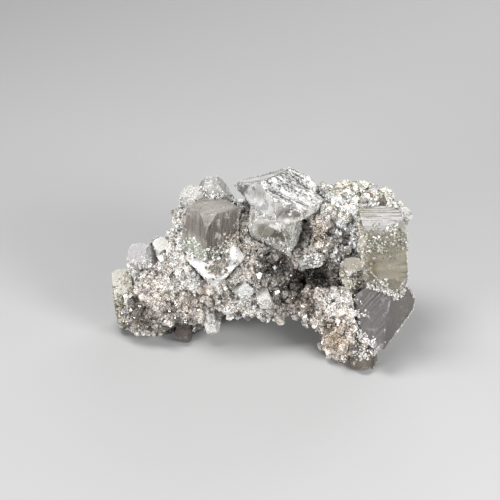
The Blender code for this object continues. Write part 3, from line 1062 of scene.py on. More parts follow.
@dataclass
class Crust:
    """The small crystals on the matrix, in several joined pieces.

    Clear and dark share are the shares of glassy and of dark grains, and dark factor is how bright the dark
    ones are.  Unevenness and warmth spread the tone.  The two crease values are how much painted shade dims
    dull grains along the creases, and how much less it dims bright ones.  Seam is how near two bodies are
    where a gap is closed, and look ahead is how far before a place the air has to be open, in seams.  Floor
    gap is how high the lowest grain is rooted, and back bare is the share of the places at the back that stay
    bare.
    """

    seed: int = 7
    clear_share: float = 0.15
    dark_share: float = 0.08
    dark_factor: float = 0.2
    unevenness: float = 0.14
    warmth: float = 0.012
    exposure: float = 1.25
    # How much painted shade dims dull grains along the creases, and how much less it dims bright ones.
    crease_painted_shade: float = 0.8
    crease_painted_shade_spared: float = 0.45
    back_bare: float = 0.93
    seam: float = 0.95
    look_ahead: float = 1.4
    floor_gap: float = 0.7

    def grow(self, rock: Surface, large: list[Surface]) -> None:
        """Scatters every grade over the rock, drops what crystals and pits leave no room for, and writes it.

        Args:
            rock: the matrix; its back stays almost bare.
            large: the large crystals.
        """
        chance = np.random.default_rng(self.seed)
        grown = {}
        for name, grade in GRADES.items():
            places, outward = scattered(rock, grade.spacing, chance)
            back = smooth_step(0.35, 0.65, outward[:, 1])
            keep = (chance.random(len(places)) > back * self.back_bare) & (places[:, 2] > self.floor_gap)
            keep &= pit_depth(places) < SHALLOW_PIT
            grains = self.made(places[keep], outward[keep], grade, chance)
            grown[name] = grains.only(self.free(grains, large))
        self.write(grown, chance)

    def close(self, rock: Surface, large: list[Surface]) -> None:
        """Grows small crystals across the narrow gap between each large crystal and whatever it stands in.

        A place on a crystal is used if something is near it but nothing is near the air in front of it.

        Args:
            rock: the matrix.
            large: the large crystals.
        """
        chance = np.random.default_rng(self.seed + 1)
        spread = [scattered(crystal, SEAM.spacing, chance) for crystal in large]
        grown = []
        for number, (places, outward) in enumerate(spread):
            others = [k for k in range(len(large)) if k != number]
            around = np.concatenate([rock.points] + [spread[k][0] for k in others])
            low, high = places.min(0) - 2, places.max(0) + 2
            tree = tree_of(around[np.all((around > low) & (around < high), axis=1)])
            ahead = places + outward * self.seam * self.look_ahead
            near = np.array([tree.find(place)[2] < self.seam for place in places])
            open_air = np.array([tree.find(place)[2] > self.seam for place in ahead])
            keep = near & open_air & (places[:, 2] > self.floor_gap)
            grains = self.made(places[keep], outward[keep], SEAM, chance)
            grown.append(grains.only(self.free(grains, [large[k] for k in others])))
        self.write({"seam": merged(grown)}, chance)

    def made(self, places: Array, outward: Array, grade: Grade, chance: np.random.Generator) -> Grains:
        """Grains of a grade at those places, with widths, lengths, habits and colours drawn at random.

        Args:
            places: where they are rooted, shape (n, 3).
            outward: which way they stand, shape (n, 3).
            grade: their size.
            chance: the source of random numbers.

        Returns:
            The grains.
        """
        count = len(places)
        colour, factor = patch_values(places)
        width = chance.uniform(*grade.widths, count) * factor
        depth = width * chance.uniform(*GRAIN_DEPTHS, count)
        sizes = np.stack([width, depth, width * chance.uniform(*grade.lengths, count)], 1)
        habits = chance.choice(len(Habit), count, p=grade.habits)
        # Painted shade dims the grains along the creases, bright patches less.
        grain_painted_shade = self.crease_painted_shade - self.crease_painted_shade_spared * smooth_step(*DULL_BRIGHT, colour[:, 0])
        bright = np.exp(chance.normal(0, self.unevenness, (count, 1)))
        bright *= (1 - grain_painted_shade * crease(places))[:, None]
        bright *= np.where(chance.random((count, 1)) < self.dark_share, self.dark_factor, 1.0)
        warm = chance.normal(0, self.warmth, (count, 1)) * np.array([1.0, 0.2, -1.0])
        colours = np.clip((colour * bright + warm * colour) * self.exposure, *GRAIN_LIGHT)
        middles = places + outward * (sizes[:, 2:] * grade.rise)
        return Grains(middles, turned_axes(outward, grade.lean, chance), sizes, habits, colours)

    @staticmethod
    def free(grains: Grains, large: list[Surface]) -> Array:
        """Which grains lie outside every large crystal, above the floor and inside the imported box.

        Args:
            grains: all of them.
            large: the large crystals.

        Returns:
            True or False for each grain.
        """
        low, high = (np.array(corner) / MM for corner in CAD_BOX)
        reach = np.einsum("ni,nij->nj", grains.sizes, np.abs(grains.axes))
        ok = np.all((grains.middles - reach > low) & (grains.middles + reach < high), axis=1)
        for spot in GRAIN_SPOTS:
            places = grains.place_of(spot)
            for crystal in large:
                ok &= ~crystal.holds(places)
        return ok

    def write(self, grown: dict[str, Grains], chance: np.random.Generator) -> None:
        """Parts the grains by place and clearness, and writes each part as one joined piece.

        Args:
            grown: the grains of each size.
            chance: the source of random numbers.
        """
        for size, grains in grown.items():
            clear = chance.random(len(grains)) < (0 if size == "large" else self.clear_share)
            x = grains.middles[:, 0]
            for side, (start, end) in PARTS.items():
                inside = (x >= start) & (x < end)
                for kind, finish, share in (("clear", GLASSY, clear), ("milky", MILKY, ~clear)):
                    part = grains.only(inside & share)
                    if len(part):
                        name = f"crust_{size}_{side}_{kind}"
                        surface, tint = part.surface()
                        write_piece(name, surface, finish.material(), tint)


# ---------------------------------------------------------------- large crystals

# A face is an end if its direction follows the long axis more than the first, and a prism face if less than
# the second.
END_TILT, SIDE_TILT = 0.97, 0.15
# Triangles lie in the same flat face if their directions agree this well and their planes are this close.
SAME_DIRECTION, SAME_PLANE = 0.9998, 0.03
# How much points on an edge, and all others, are moved towards their neighbours.
EDGE_RELAXED, FACE_RELAXED = 0.1, 0.15
# The depth at which the painted shade of a growth mark is at its darkest, and the light value of the painted
# highlight along the edges.
DEEP_MARK, RIM_HIGHLIGHT = 0.25, 0.93
# How much the long axis is shortened and the cells slanted for the shards.
SHARD_SQUEEZE, SHARD_SLANT = 0.55, 0.25
# How dim the shards are, and what share of them is that dim.
SHARD_VALUES, SHARD_SHARES = (0.0, 0.2, 0.55, 1.0), (0.5, 0.2, 0.15, 0.15)


@dataclass(frozen=True)
class Axes:
    """Where a crystal's long axis points and how far it is turned about it, in degrees."""

    azimuth: float
    elevation: float
    spin: float

    def rows(self) -> Array:
        """The crystal's own x, y and long axis."""
        azimuth, elevation, spin = (math.radians(a) for a in (self.azimuth, self.elevation, self.spin))
        level = math.cos(elevation)
        long_axis = np.array([level * math.cos(azimuth), level * math.sin(azimuth), math.sin(elevation)])
        across = unit(np.cross([0, 0, 1], long_axis))
        x_axis = across * math.cos(spin) + np.cross(long_axis, across) * math.sin(spin)
        return np.stack([x_axis, np.cross(long_axis, x_axis), long_axis])


@dataclass(frozen=True)
class Relief:
    """What growth left on a kind of face, in millimetres: terraces, grooves and pits, always cut inwards."""

    step: float = 0.0
    step_width: float = 5.0
    levels: float = 3.0
    groove: float = 0.0
    groove_width: float = 0.7
    pit: float = 0.0
    pit_width: float = 1.0
    stretch: float = 3.0
    turn: float = 0.0

    def depth(self, along: Array, across: Array, seed: int) -> Array:
        """How far each point of a face is cut in.

        Terraces are noise stretched along the face and rounded to whole levels.  Grooves are noise that
        changes quickly across and slowly along.  Pits are the tops of a third noise.

        Args:
            along: distance along the face's grain.
            across: distance across it.
            seed: which set of random values.

        Returns:
            A depth for each point, 0 or more.
        """
        turn = math.radians(self.turn)
        u = along * math.cos(turn) + across * math.sin(turn)
        v = across * math.cos(turn) - along * math.sin(turn)
        zero = np.zeros_like(u)
        wide = layered(np.stack([u / self.stretch, v, zero], 1), self.step_width, seed)
        level = (wide + 1) / 2 * self.levels
        whole = np.floor(level) + smooth_step(0.0, 0.18, level - np.floor(level)) - 1
        fine = layered(np.stack([u / (8 * self.stretch), v, zero + 5], 1), self.groove_width, seed + 20)
        spots = noise(np.stack([u, v, zero + 9], 1), self.pit_width, seed + 40)
        return (
            self.step * np.clip(whole, 0, None)
            + self.groove * np.clip(fine + 0.5, 0, None)
            + self.pit * np.clip(spots - 0.35, 0, None)
        )


@dataclass(frozen=True)
class Tone:
    """A part of a crystal with its own colour: its middle, its reach each way and the colour there."""

    middle: Place
    reach: Place
    colour: Colour


@dataclass(frozen=True)
class Veil:
    """A healed crack inside a crystal: its middle, the way it faces, its radii and how much it bends."""

    middle: Place
    facing: Place
    radii: Pair
    bend: float = 0.6
    thickness: float = 0.03
    ragged: float = 0.25
    rings: int = 14
    steps: int = 48

    def surface(self, seed: int) -> Surface:
        """A thin lens: its middle sheet is radius * (cos t, sin t) bent by noise, and it thins to its rim.

        Args:
            seed: which set of random values.

        Returns:
            Its closed surface.
        """
        facing = unit(np.array(self.facing, float))
        side = unit(np.cross(facing, [0.31, 0.2, 0.93]))
        other = np.cross(facing, side)
        radius = np.linspace(0, 1, self.rings + 1)[1:]
        turn = np.linspace(0, 2 * math.pi, self.steps, endpoint=False)
        r, t = (part.ravel() for part in np.meshgrid(radius, turn, indexing="ij"))
        around = np.stack([np.cos(t) * 3, np.sin(t) * 3, 0 * t], 1)
        outline = 1 + self.ragged * noise(around, 1.0, seed)
        u = np.append(r * np.cos(t) * self.radii[0] * outline, 0)
        v = np.append(r * np.sin(t) * self.radii[1] * outline, 0)
        bend = self.bend * layered(np.stack([u, v, 0 * u], 1), 5.0, seed + 5)
        half = self.thickness * (1 - np.append(r, 0) ** 2)
        middle = np.array(self.middle) + u[:, None] * side + v[:, None] * other + bend[:, None] * facing
        upper, lower = middle + half[:, None] * facing, middle - half[:, None] * facing
        count = len(middle)
        grid = np.arange(self.rings * self.steps).reshape(self.rings, self.steps)
        a, b = grid[:-1], grid[1:]
        above = np.concatenate([
            np.stack([a, b, np.roll(b, -1, 1)], -1).reshape(-1, 3),
            np.stack([a, np.roll(b, -1, 1), np.roll(a, -1, 1)], -1).reshape(-1, 3),
            np.stack([np.full(self.steps, count - 1), grid[0], np.roll(grid[0], -1)], -1),
        ])
        below = above[:, ::-1] + count
        below = np.where(np.isin(below - count, grid[-1]), below - count, below)
        return Surface(np.concatenate([upper, lower]), np.concatenate([above, below]))


@dataclass(frozen=True)
class LargeCrystal:
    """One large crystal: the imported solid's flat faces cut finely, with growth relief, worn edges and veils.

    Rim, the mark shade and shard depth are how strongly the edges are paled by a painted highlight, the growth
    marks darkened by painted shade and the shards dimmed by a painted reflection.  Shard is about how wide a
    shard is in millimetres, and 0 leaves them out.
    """

    node: str
    axes: Axes
    finish: CrystalFinish
    slot: Slot
    colour: Colour = (0.93, 0.92, 0.90)
    tones: tuple[Tone, ...] = ()
    # A painted highlight along the edges, and painted shade in the growth marks.
    rim_highlight: float = 0.4
    rim_highlight_width: float = 0.5
    dirt_and_mark_shade: float = 0.5
    end: Relief = Relief()
    prism: Relief = Relief()
    pyramid: Relief = Relief()
    grid: float = 0.45
    fade: float = 0.5
    wear: float = 0.1
    wear_width: float = 1.1
    shard: float = 0.0
    shard_depth: float = 0.5
    veils: tuple[Veil, ...] = ()

    def build(self, seed: int) -> None:
        """Builds and dresses the crystal.

        Args:
            seed: which set of random values its relief uses.
        """
        coarse = node_surface(self.node)
        labels, planes = self.flat_faces(coarse)
        borders = self.borders(coarse, labels)
        fine, labels = refined(coarse, labels, self.grid)
        gap = np.full(len(fine.points), FAR)
        push = np.zeros_like(fine.points)
        cut = np.zeros(len(fine.points))
        x_axis, _, long_axis = self.axes.rows()
        for number, outward in enumerate(planes):
            inside = np.unique(fine.triangles[labels == number])
            places = fine.points[inside]
            distance = self.distance(places, coarse.points[borders[number]])
            gap[inside] = np.minimum(gap[inside], distance)
            tilt = abs(outward @ long_axis)
            relief = self.end if tilt > END_TILT else self.prism if tilt < SIDE_TILT else self.pyramid
            along = x_axis if tilt > END_TILT else long_axis
            along = unit(along - outward * (along @ outward))
            across = np.cross(outward, along)
            depth = relief.depth(places @ along, places @ across, seed + number)
            push[inside] -= outward * (depth * smooth_step(0.0, self.fade, distance))[:, None]
            cut[inside] = np.maximum(cut[inside], depth)
        edge = gap < 1e-6
        worn = self.wear * np.clip(noise(fine.points, self.wear_width, seed + 70) + 0.1, 0, None)
        fine.points = fine.points + push - fine.outward() * (worn * edge)[:, None]
        fine.relax(np.where(edge, EDGE_RELAXED, FACE_RELAXED), 1)
        tint = self.colours(fine.points, cut, gap, seed)
        name = self.node.replace("_crystal", "_body")
        piece = write_piece(name, fine, self.finish.material(), tint, CRYSTAL_ANGLE)
        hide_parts(self.node)
        for number, veil in enumerate(self.veils):
            film, name = veil.surface(seed + number), f"{self.node}_film_{number}"
            write_piece(name, film, VEIL.material(), smooth=VEIL_ANGLE)

    def colours(self, places: Array, cut: Array, gap: Array, seed: int) -> Array:
        """The crystal's colour: its tones, darker in growth marks by painted shade and in shards by painted
        reflections, and paler along its edges by a painted highlight.

        Args:
            places: the points.
            cut: how deep the growth marks are there.
            gap: how far each point is from the nearest edge.
            seed: which set of random values.

        Returns:
            Light values, shape (n, 3).
        """
        colour = np.tile(light_of(self.colour), (len(places), 1))
        offset = wobble(places, 2.5, seed + 60)
        for tone in self.tones:
            share = np.linalg.norm((places + offset - np.array(tone.middle)) / np.array(tone.reach), axis=1)
            weight = np.exp(-(share**4))[:, None]
            colour = colour * (1 - weight) + weight * light_of(tone.colour)
        # Painted shade in the growth marks, darker where they are cut deeper.
        colour = colour * (1 - self.dirt_and_mark_shade * np.clip(cut / DEEP_MARK, 0, 1) ** 1.5)[:, None]
        # Painted reflections of the inner faces dim the shards.
        if self.shard:
            colour = colour * (1 - self.shard_depth * self.shards(places, seed))[:, None]
        # A painted highlight along the edges, broken by noise.
        broken = smooth_step(-0.2, 0.5, layered(places, 2.2, seed + 90))
        pale = self.rim_highlight * np.exp(-((gap / self.rim_highlight_width) ** 2)) * broken
        return colour + pale[:, None] * (RIM_HIGHLIGHT - colour)

    def shards(self, places: Array, seed: int) -> Array:
        """How dim each point is by what the inner faces mirror: one value within each of many slanted cells.

        A point belongs to the nearest of random middles, measured with the crystal's long axis shortened.

        Args:
            places: the points.
            seed: which set of random values.

        Returns:
            Values from 0 to 1, shape (n,).
        """
        chance = np.random.default_rng(seed + 95)
        long_axis = self.axes.rows()[2]
        slanted = places - SHARD_SQUEEZE * (places @ long_axis)[:, None] * long_axis
        slanted = slanted + SHARD_SLANT * places[:, [2, 0, 1]]
        low, high = slanted.min(0), slanted.max(0)
        middles = chance.uniform(low, high, (int(np.prod((high - low) / self.shard)) + 8, 3))
        values = chance.choice(SHARD_VALUES, len(middles), p=SHARD_SHARES)
        tree = tree_of(middles)
        return values[[tree.find(place)[1] for place in slanted]]

    @staticmethod
    def flat_faces(surface: Surface) -> tuple[Array, list[Array]]:
        """Sorts the triangles by the flat face that they lie in.

        Args:
            surface: a body with flat faces.

        Returns:
            The face's number for each triangle, and each face's outward direction.
        """
        outward = unit(surface.crosses())
        offset = np.einsum("ni,ni->n", outward, surface.points[surface.triangles[:, 0]])
        planes, labels = [], np.zeros(len(outward), int)
        for number, (direction, far) in enumerate(zip(outward, offset)):
            known = enumerate(planes)
            same = [k for k, (d, f) in known if d @ direction > SAME_DIRECTION and abs(f - far) < SAME_PLANE]
            labels[number] = same[0] if same else len(planes)
            if not same:
                planes.append((direction, far))
        return labels, [direction for direction, _ in planes]

    @staticmethod
    def borders(surface: Surface, labels: Array) -> list[Array]:
        """Finds the sides that each flat face shares with others.

        Args:
            surface: a body with flat faces.
            labels: the face's number for each triangle.

        Returns:
            For each face its sides, as pairs of point numbers.
        """
        owner = np.repeat(labels, 3)
        unique, where = np.unique(sides_of(surface.triangles), axis=0, return_inverse=True)
        where = where.reshape(-1)
        low, high = np.full(len(unique), 10**6), np.full(len(unique), -1)
        np.minimum.at(low, where, owner)
        np.maximum.at(high, where, owner)
        return [unique[(low != high) & ((low == k) | (high == k))] for k in range(labels.max() + 1)]

    @staticmethod
    def distance(places: Array, sides: Array) -> Array:
        """How far each place is from the nearest of some straight sides.

        Args:
            places: shape (n, 3).
            sides: both ends of each, shape (m, 2, 3).

        Returns:
            One distance for each place.
        """
        best = np.full(len(places), FAR)
        for origin, end in sides:
            way = end - origin
            share = np.clip((places - origin) @ way / max(way @ way, 1e-12), 0, 1)
            best = np.minimum(best, np.linalg.norm(places - origin - share[:, None] * way, axis=1))
        return best


GROOVED, STEPPED, FINE_STEPPED = Relief(groove=0.05), Relief(step=0.06), Relief(step=0.05)
BLOCK_END, BLOCK_SIDE = Relief(step=0.12, step_width=1.5), Relief(step=0.1, step_width=1.5)
LEDGE = Relief(step=0.1, step_width=2)
# The random values of each crystal follow from its place in this list.
CRYSTALS = (
    LargeCrystal(
        "crown_crystal", Axes(-10.7, 53.6, 21.3), BRIGHT, Slot.CLEAR, rim_highlight=0.6, grid=0.42, dirt_and_mark_shade=0.8,
        end=Relief(0.12, 2.0, 4, groove=0.1, groove_width=0.5, pit=0.22, pit_width=0.5, stretch=5, turn=90),
        prism=Relief(0.06, 3, groove=0.05, groove_width=0.6),
        pyramid=Relief(0.08, 4, groove=0.05, groove_width=0.6),
        tones=(
            # White over the crown's left facet: a painted highlight.
            Tone((-1.0, -2.0, 54.5), (7, 6, 5), (1.0, 1.0, 1.0)),
            Tone((-4.5, 6.0, 56.5), (5, 4, 2.5), (0.99, 0.99, 0.98)),
            Tone((9.5, -6.5, 51.5), (5, 3, 3), (0.53, 0.51, 0.485)),
            Tone((4.5, -1.0, 59.0), (6.5, 4, 4), (0.58, 0.58, 0.56)),
            Tone((10.0, 3.0, 57.5), (7, 4, 2.0), (0.60, 0.59, 0.55)),
            Tone((3.5, -3.5, 41.5), (8, 5, 6), (0.64, 0.62, 0.575)),
            # Painted light: the block's right face lies in shade, and this white tone lightens it.
            Tone((11.5, 1.5, 40.5), (3.0, 7, 8), (1.0, 0.99, 0.95)),
        ),
        shard=2.4, shard_depth=0.52,
        veils=(
            Veil((-3.6, 7.6, 55.0), (-0.27, 0.41, 0.87), (3.6, 1.8), 0.2),
            Veil((8.2, 2.7, 52.5), (0.7, -0.3, 0.6), (6.5, 4.0)),
            # This crack film lies just under the shaded right face of the block to lighten it: partly painted
            # light.
            Veil((9.6, 0.9, 40.7), (0.89, -0.45, 0.08), (3.6, 5.0), 0.2),
            Veil((-0.6, -1.6, 54.2), (-0.71, -0.67, -0.2), (4.5, 5.5), 0.3),
            Veil((-3.0, 3.0, 53.6), (-0.71, -0.67, -0.2), (4.0, 3.0), 0.3),
            Veil((2.2, 2.2, 51.5), (0.2, -0.8, 0.5), (5.0, 3.0)),
        ),
    ),
    LargeCrystal(
        "dome_crystal", Axes(72.3, 80.3, -121.4), DUSKY, Slot.CLOUDY, (0.56, 0.53, 0.50),
        (
            Tone((-16.0, -1.0, 52.5), (12, 9, 2.5), (0.68, 0.66, 0.63)),
            Tone((-22.0, -7.0, 39.0), (5, 6, 5), (0.84, 0.84, 0.79)),
        ),
        end=Relief(0.03, pit=0.05), prism=Relief(0.05, 4, groove=0.22, groove_width=0.5, stretch=2.0),
        pyramid=Relief(groove=0.08, groove_width=0.9),
    ),
    LargeCrystal(
        "peak_crystal", Axes(180, 86, 45), CLEAR, Slot.CLEAR, (0.82, 0.81, 0.79),
        prism=GROOVED, pyramid=STEPPED, shard=2.2, shard_depth=0.3,
    ),
    LargeCrystal("shoulder_crystal", Axes(-150, 78, 20), CLEAR, Slot.CLEAR, prism=GROOVED, pyramid=STEPPED),
    LargeCrystal(
        "prism_crystal", Axes(125, 82.2, 149), GREENISH, Slot.TINTED, (0.71, 0.685, 0.61),
        (
            Tone((38.0, -7.0, 53.0), (14, 12, 2.6), (0.77, 0.755, 0.76)),
            Tone((38.0, -16.0, 47.0), (12, 4, 4.0), (0.64, 0.605, 0.53)),
            Tone((35.0, -17.0, 37.0), (2.0, 4, 7.0), (0.58, 0.54, 0.44)),
        ),
        end=Relief(0.08, 4, groove=0.08, stretch=4, turn=-12),
        prism=Relief(0.1, 4, groove=0.1, groove_width=0.8, stretch=4, turn=90), pyramid=Relief(0.1, 3),
    ),
    LargeCrystal(
        "slab_crystal", Axes(-132.2, 20.7, 8.2), FROSTED, Slot.CLOUDY, (0.35, 0.335, 0.33),
        (Tone((47.0, -12.0, 21.0), (7, 9, 12), (0.385, 0.37, 0.35)),), rim_highlight=0.3,
        end=Relief(groove=0.06, groove_width=0.6, turn=55), prism=Relief(groove=0.05, groove_width=0.8),
        pyramid=FINE_STEPPED, wear=0.2,
    ),
    LargeCrystal(
        "foot_crystal", Axes(-95, -60, 40), GREENISH, Slot.TINTED, (0.53, 0.49, 0.44),
        prism=Relief(0.1, 2.5, groove=0.08),
    ),
    LargeCrystal(
        "end_crystal", Axes(-140, 48, 30), PEARLY, Slot.CLOUDY, (0.73, 0.72, 0.725), pyramid=FINE_STEPPED
    ),
    LargeCrystal("white_crystal", Axes(-80, 60, 25), PEARLY, Slot.CLOUDY, (0.86, 0.85, 0.83)),
    LargeCrystal(
        "side_crystal", Axes(180, 86, 8), PEARLY, Slot.CLOUDY, (0.86, 0.845, 0.81), prism=Relief(groove=0.12)
    ),
    LargeCrystal(
        "cradle_crystal", Axes(-90, 38, 45), BRIGHT, Slot.CLEAR,
        rim_highlight=0.6, end=GROOVED, shard=2.2, shard_depth=0.4,
        tones=(
            Tone((-21.0, -10.0, 34.5), (3, 5, 5), (1.0, 1.0, 1.0)),
            Tone((-9.0, -10.0, 36.0), (3, 5, 4), (0.95, 0.95, 0.94)),
        ),
    ),
    LargeCrystal(
        "ledge_crystal", Axes(4, 8, 20), CLEAR, Slot.CLEAR, (0.60, 0.60, 0.57), end=LEDGE, prism=LEDGE
    ),
    LargeCrystal("corner_crystal", Axes(-20, 50, 15), CLEAR, Slot.CLEAR),
    LargeCrystal(
        "beige_crystal", Axes(-95, 80, 28), PEARLY, Slot.TINTED, (0.77, 0.74, 0.70),
        prism=Relief(0.15, 3, groove=0.2, groove_width=0.8),
    ),
    LargeCrystal(
        "cube_crystal", Axes(-75, 30, 40), CLEAR, Slot.CLEAR, (0.95, 0.95, 0.94),
        end=BLOCK_END, prism=BLOCK_SIDE,
    ),
    LargeCrystal("clear_crystal", Axes(-80, -12, 20), CLEAR, Slot.CLEAR, end=BLOCK_END, prism=BLOCK_SIDE),
    LargeCrystal("bead_crystal", Axes(-80, -42, 30), CLEAR, Slot.CLEAR, end=BLOCK_END, prism=BLOCK_SIDE),
    LargeCrystal("smoky_crystal", Axes(-104, -34, 10), SMOKY, Slot.SMOKY, (0.43, 0.405, 0.385), rim_highlight=0.2),
)


# Sugary grains: lengths in half widths, the shares of the four habits, how much they vary, how much painted
# shade dims them along creases, and how much they lean.
SUGAR_LENGTHS = (0.8, 1.7)
SUGAR_HABITS = (0.3, 0.1, 0.2, 0.4)
SUGAR_UNEVENNESS, SUGAR_PAINTED_SHADE, SUGAR_LEAN = 0.16, 0.5, 0.8
SUGAR_RAGGED = 1.3


@dataclass(frozen=True)
class Overgrowth:
    """Fine sugary grains grown over part of a large crystal: within a bell-shaped reach of a middle.

    With an edge above 0 they grow only that close to the crystal's edges.
    """

    node: str
    middle: Place
    reach: Place
    widths: Pair = (0.2, 0.42)
    spacing: float = 0.42
    cover: float = 1.0
    colour: Colour = (0.95, 0.94, 0.92)
    edge: float = 0.0

    def grow(self, number: int) -> None:
        """Scatters the grains over the crystal's faces and writes them as one joined piece.

        A place is kept with the chance cover * exp(-(d / reach)^3) times noise, so the grains form clumps.

        Args:
            number: which patch this is, for its random numbers and its name.
        """
        chance = np.random.default_rng(500 + number)
        body = node_surface(self.node)
        places, outward = scattered(body, self.spacing, chance)
        if self.edge:
            labels, _ = LargeCrystal.flat_faces(body)
            sides = np.unique(np.concatenate(LargeCrystal.borders(body, labels)), axis=0)
            near = LargeCrystal.distance(places, body.points[sides]) < self.edge
            places, outward = places[near], outward[near]
        offset = places + SUGAR_RAGGED * wobble(places, 2.2, 300) - np.array(self.middle)
        share = np.linalg.norm(offset / np.array(self.reach), axis=1)
        clump = smooth_step(-0.5, 0.25, layered(places, 2.4, 310 + number))
        keep = chance.random(len(places)) < self.cover * np.exp(-(share**3)) * clump
        places, outward = places[keep], outward[keep]
        count = len(places)
        width = chance.uniform(*self.widths, count)
        sizes = np.stack([width, width, width * chance.uniform(*SUGAR_LENGTHS, count)], 1)
        habits = chance.choice(len(Habit), count, p=SUGAR_HABITS)
        bright = np.exp(chance.normal(0, SUGAR_UNEVENNESS, (count, 1)))
        # Painted shade along the creases.
        bright *= (1 - SUGAR_PAINTED_SHADE * crease(places))[:, None]
        colours = np.clip(light_of(self.colour) * bright, *GRAIN_LIGHT)
        grains = Grains(places, turned_axes(outward, SUGAR_LEAN, chance), sizes, habits, colours)
        surface, tint = grains.only(Crust.free(grains, [])).surface()
        write_piece(f"sugar_{number}", surface, SUGAR.material(), tint)


# The number of each in this list is part of its name and sets its random values.
OVERGROWTHS = (
    Overgrowth("crown_crystal", (5.0, 0.0, 48.0), (30, 30, 30), (0.07, 0.16), 0.15, 0.9, edge=0.16),
    Overgrowth("slab_crystal", (48.0, -12.0, 16.0), (5.5, 12, 15), (0.1, 0.26), 0.2, 0.9, edge=0.3),
    Overgrowth("prism_crystal", (42.0, -14.0, 36.0), (8, 14, 16), (0.07, 0.16), 0.18, 0.5, edge=0.16),
    Overgrowth("cradle_crystal", (-15.0, -10.0, 35.0), (12, 9, 9), (0.08, 0.2), 0.16, 0.9, edge=0.2),
    Overgrowth("peak_crystal", (-16.5, 6.0, 52.0), (9, 9, 6), (0.07, 0.14), 0.16, 0.8, edge=0.14),
    Overgrowth("cube_crystal", (-5.0, -11.0, 24.0), (5, 5, 5), (0.07, 0.16), 0.16, 0.9, edge=0.16),
    Overgrowth("end_crystal", (-40.0, 0.0, 31.0), (7, 7, 7), (0.07, 0.14), 0.18, 0.6, edge=0.14),
    Overgrowth("prism_crystal", (31.8, -9.0, 38.0), (2.6, 8, 9), cover=0.8, colour=(0.86, 0.83, 0.77)),
    Overgrowth("slab_crystal", (29.6, -13.0, 15.0), (3.4, 5, 8)),
    Overgrowth("slab_crystal", (34.0, -20.0, 9.5), (5.5, 5, 3.2)),
    Overgrowth("cradle_crystal", (-14.8, -10.0, 36.5), (3.8, 5, 4), colour=(0.66, 0.63, 0.59)),
    Overgrowth("dome_crystal", (-21.5, -8.0, 39.5), (6, 5, 3.5), cover=0.7, colour=(0.90, 0.91, 0.86)),
    Overgrowth("dome_crystal", (-10.0, -5.0, 39.0), (4, 5, 4), cover=0.8, colour=(0.80, 0.77, 0.72)),
    Overgrowth("prism_crystal", (37.0, -17.5, 31.0), (4.5, 3, 4.0), (0.12, 0.32), cover=0.8),
    Overgrowth("prism_crystal", (37.5, -15.5, 49.0), (9, 4, 5.5), (0.12, 0.42), 0.42, 0.7, (0.8, 0.79, 0.74)),
    Overgrowth("side_crystal", (-45.5, -2.0, 11.0), (5.5, 5, 7), cover=0.9, colour=(0.72, 0.69, 0.61)),
    Overgrowth("side_crystal", (-44.5, 0.0, 19.5), (3.0, 6, 3.5), cover=0.9, colour=(0.86, 0.84, 0.78)),
    Overgrowth("beige_crystal", (29.5, -11.5, 27.0), (6, 5, 7), (0.12, 0.36), 0.42, 0.8, (0.90, 0.87, 0.81)),
    Overgrowth("beige_crystal", (29.5, -11.5, 30.0), (6, 6, 8), (0.08, 0.2), 0.2, 0.8, edge=0.2),
    Overgrowth("crown_crystal", (11.0, 1.5, 40.5), (2.6, 7, 7), (0.08, 0.2), 0.17, 1.0, (1.0, 1.0, 0.96)),
    Overgrowth("crown_crystal", (-2.0, -1.0, 52.0), (6, 7, 5), (0.08, 0.22), 0.2, 0.8, edge=0.55),
    Overgrowth("crown_crystal", (4.5, -3.0, 37.8), (9, 4, 2.6), (0.12, 0.3), cover=0.6),
    Overgrowth("shoulder_crystal", (-24.0, 4.0, 48.5), (5, 6, 3.5), cover=0.5),
    Overgrowth("peak_crystal", (-16.5, 6.0, 48.5), (7, 5, 2.6), cover=0.8, colour=(0.97, 0.97, 0.96)),
    Overgrowth("white_crystal", (-33.0, 0.5, 31.0), (4, 4, 2.5), cover=0.5),
    Overgrowth("end_crystal", (-37.5, -1.5, 28.5), (4, 4, 3.0), cover=0.6),
    Overgrowth("cube_crystal", (-4.0, -11.0, 23.0), (3, 3, 2.0), (0.12, 0.35), cover=0.5),
    Overgrowth("clear_crystal", (0.5, -12.0, 20.5), (3, 3, 1.6), (0.12, 0.3), cover=0.4),
    Overgrowth("bead_crystal", (-18.2, -7.5, 9.0), (3, 3, 2.0), (0.12, 0.3), cover=0.5),
    Overgrowth("foot_crystal", (33.5, -17.5, 7.5), (5, 5, 3.0), cover=0.7),
    Overgrowth("corner_crystal", (45.5, 4.0, 43.5), (4, 5, 2.5), cover=0.5),
    Overgrowth("ledge_crystal", (18.5, -8.5, 35.0), (4, 4, 3), (0.12, 0.35), cover=0.5),
)


# ---------------------------------------------------------------- studio


@dataclass(frozen=True)
class Panel:
    """A soft light panel: where it hangs, its size in metres, its power in watts and what it points at."""

    name: str
    place: Place
    size: Pair
    power: float
    aim: Place = (0.0, 0.0, 0.03)

    def hang(self) -> None:
        """Adds the lamp."""
        data = bpy.data.lights.new(self.name, "AREA")
        data.shape = "RECTANGLE"
        data.size, data.size_y = self.size
        data.energy = self.power
        thing = placed(self.name, data)
        thing.location = self.place
        thing.rotation_euler = (Vector(self.aim) - Vector(self.place)).to_track_quat("-Z", "Y").to_euler()


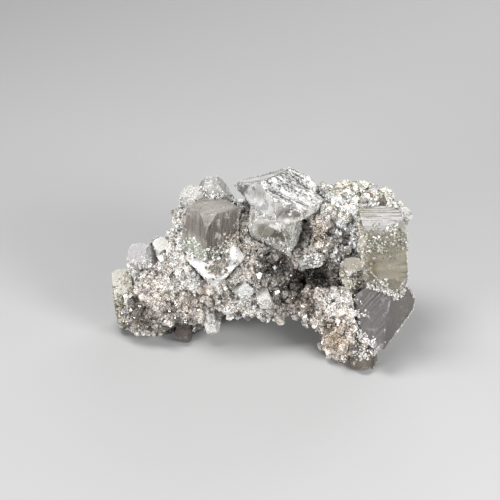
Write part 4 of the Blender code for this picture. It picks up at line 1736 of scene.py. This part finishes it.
@dataclass
class Studio:
    """A plain pale floor, soft light panels and the camera, whose aim and distance are in millimetres."""

    panels: tuple[Panel, ...] = (
        Panel("window", (0.33, 0.36, 0.21), (0.18, 0.13), 0.5),
        Panel("back", (0.15, 0.46, 0.34), (0.4, 0.24), 1.1),
        Panel("sky", (-0.13, -0.02, 0.50), (0.18, 0.22), 2.7),
        Panel("front", (0.22, -0.42, 0.34), (0.18, 0.14), 0.4),
        Panel("left", (-0.36, -0.36, 0.12), (0.18, 0.14), 3.2),
        Panel("right", (0.33, -0.26, 0.24), (0.18, 0.14), 2.4),
    )
    surroundings: Colour = (0.30, 0.30, 0.30)
    floor_half: float = 1.5
    aim: Place = (-3.78, 1.70, 32.7)
    distance: float = 500.0
    elevation: float = 35.0
    lens: float = 108.8

    def build(self) -> None:
        """Builds the floor, the lights, the surrounding light and the camera."""
        self.floor()
        for panel in self.panels:
            panel.hang()
        world = bpy.data.worlds.new("surroundings")
        world.use_nodes = True
        values = {"Color": linear(self.surroundings), "Strength": 1.0}
        feed(world.node_tree, world.node_tree.nodes["Background"], values)
        bpy.context.scene.world = world
        bpy.context.scene.view_settings.view_transform = "Standard"
        self.camera()

    def floor(self) -> None:
        """A wide flat sheet at height 0."""
        mesh = bpy.data.meshes.new("floor")
        half = self.floor_half
        corners = [(-half, -half, 0), (half, -half, 0), (half, half, 0), (-half, half, 0)]
        mesh.from_pydata(corners, [], [(0, 1, 2, 3)])
        mesh.materials.append(FLOOR.material())
        thing = placed("floor", mesh)

    def camera(self) -> None:
        """Places the camera above the front, looking down."""
        data = bpy.data.cameras.new("camera")
        data.lens, data.sensor_width = self.lens, 36.0
        thing = placed("camera", data)
        back = Vector((0, -math.cos(math.radians(self.elevation)), math.sin(math.radians(self.elevation))))
        thing.location = Vector(self.aim) * MM + back * self.distance * MM
        thing.rotation_euler = (-back).to_track_quat("-Z", "Y").to_euler()
        bpy.context.scene.camera = thing


def main() -> None:
    """Builds the whole cluster and its studio."""
    logging.basicConfig(level=logging.INFO, format="%(message)s")
    Studio().build()
    large = [node_surface(crystal.node) for crystal in CRYSTALS]
    rock = Matrix().build(large)
    crust = Crust()
    crust.grow(rock, large)
    crust.close(rock, large)
    for number, crystal in enumerate(CRYSTALS):
        crystal.build(100 * (number + 1))
    for number, overgrowth in enumerate(OVERGROWTHS):
        overgrowth.grow(number)


if __name__ == "__main__":
    main()
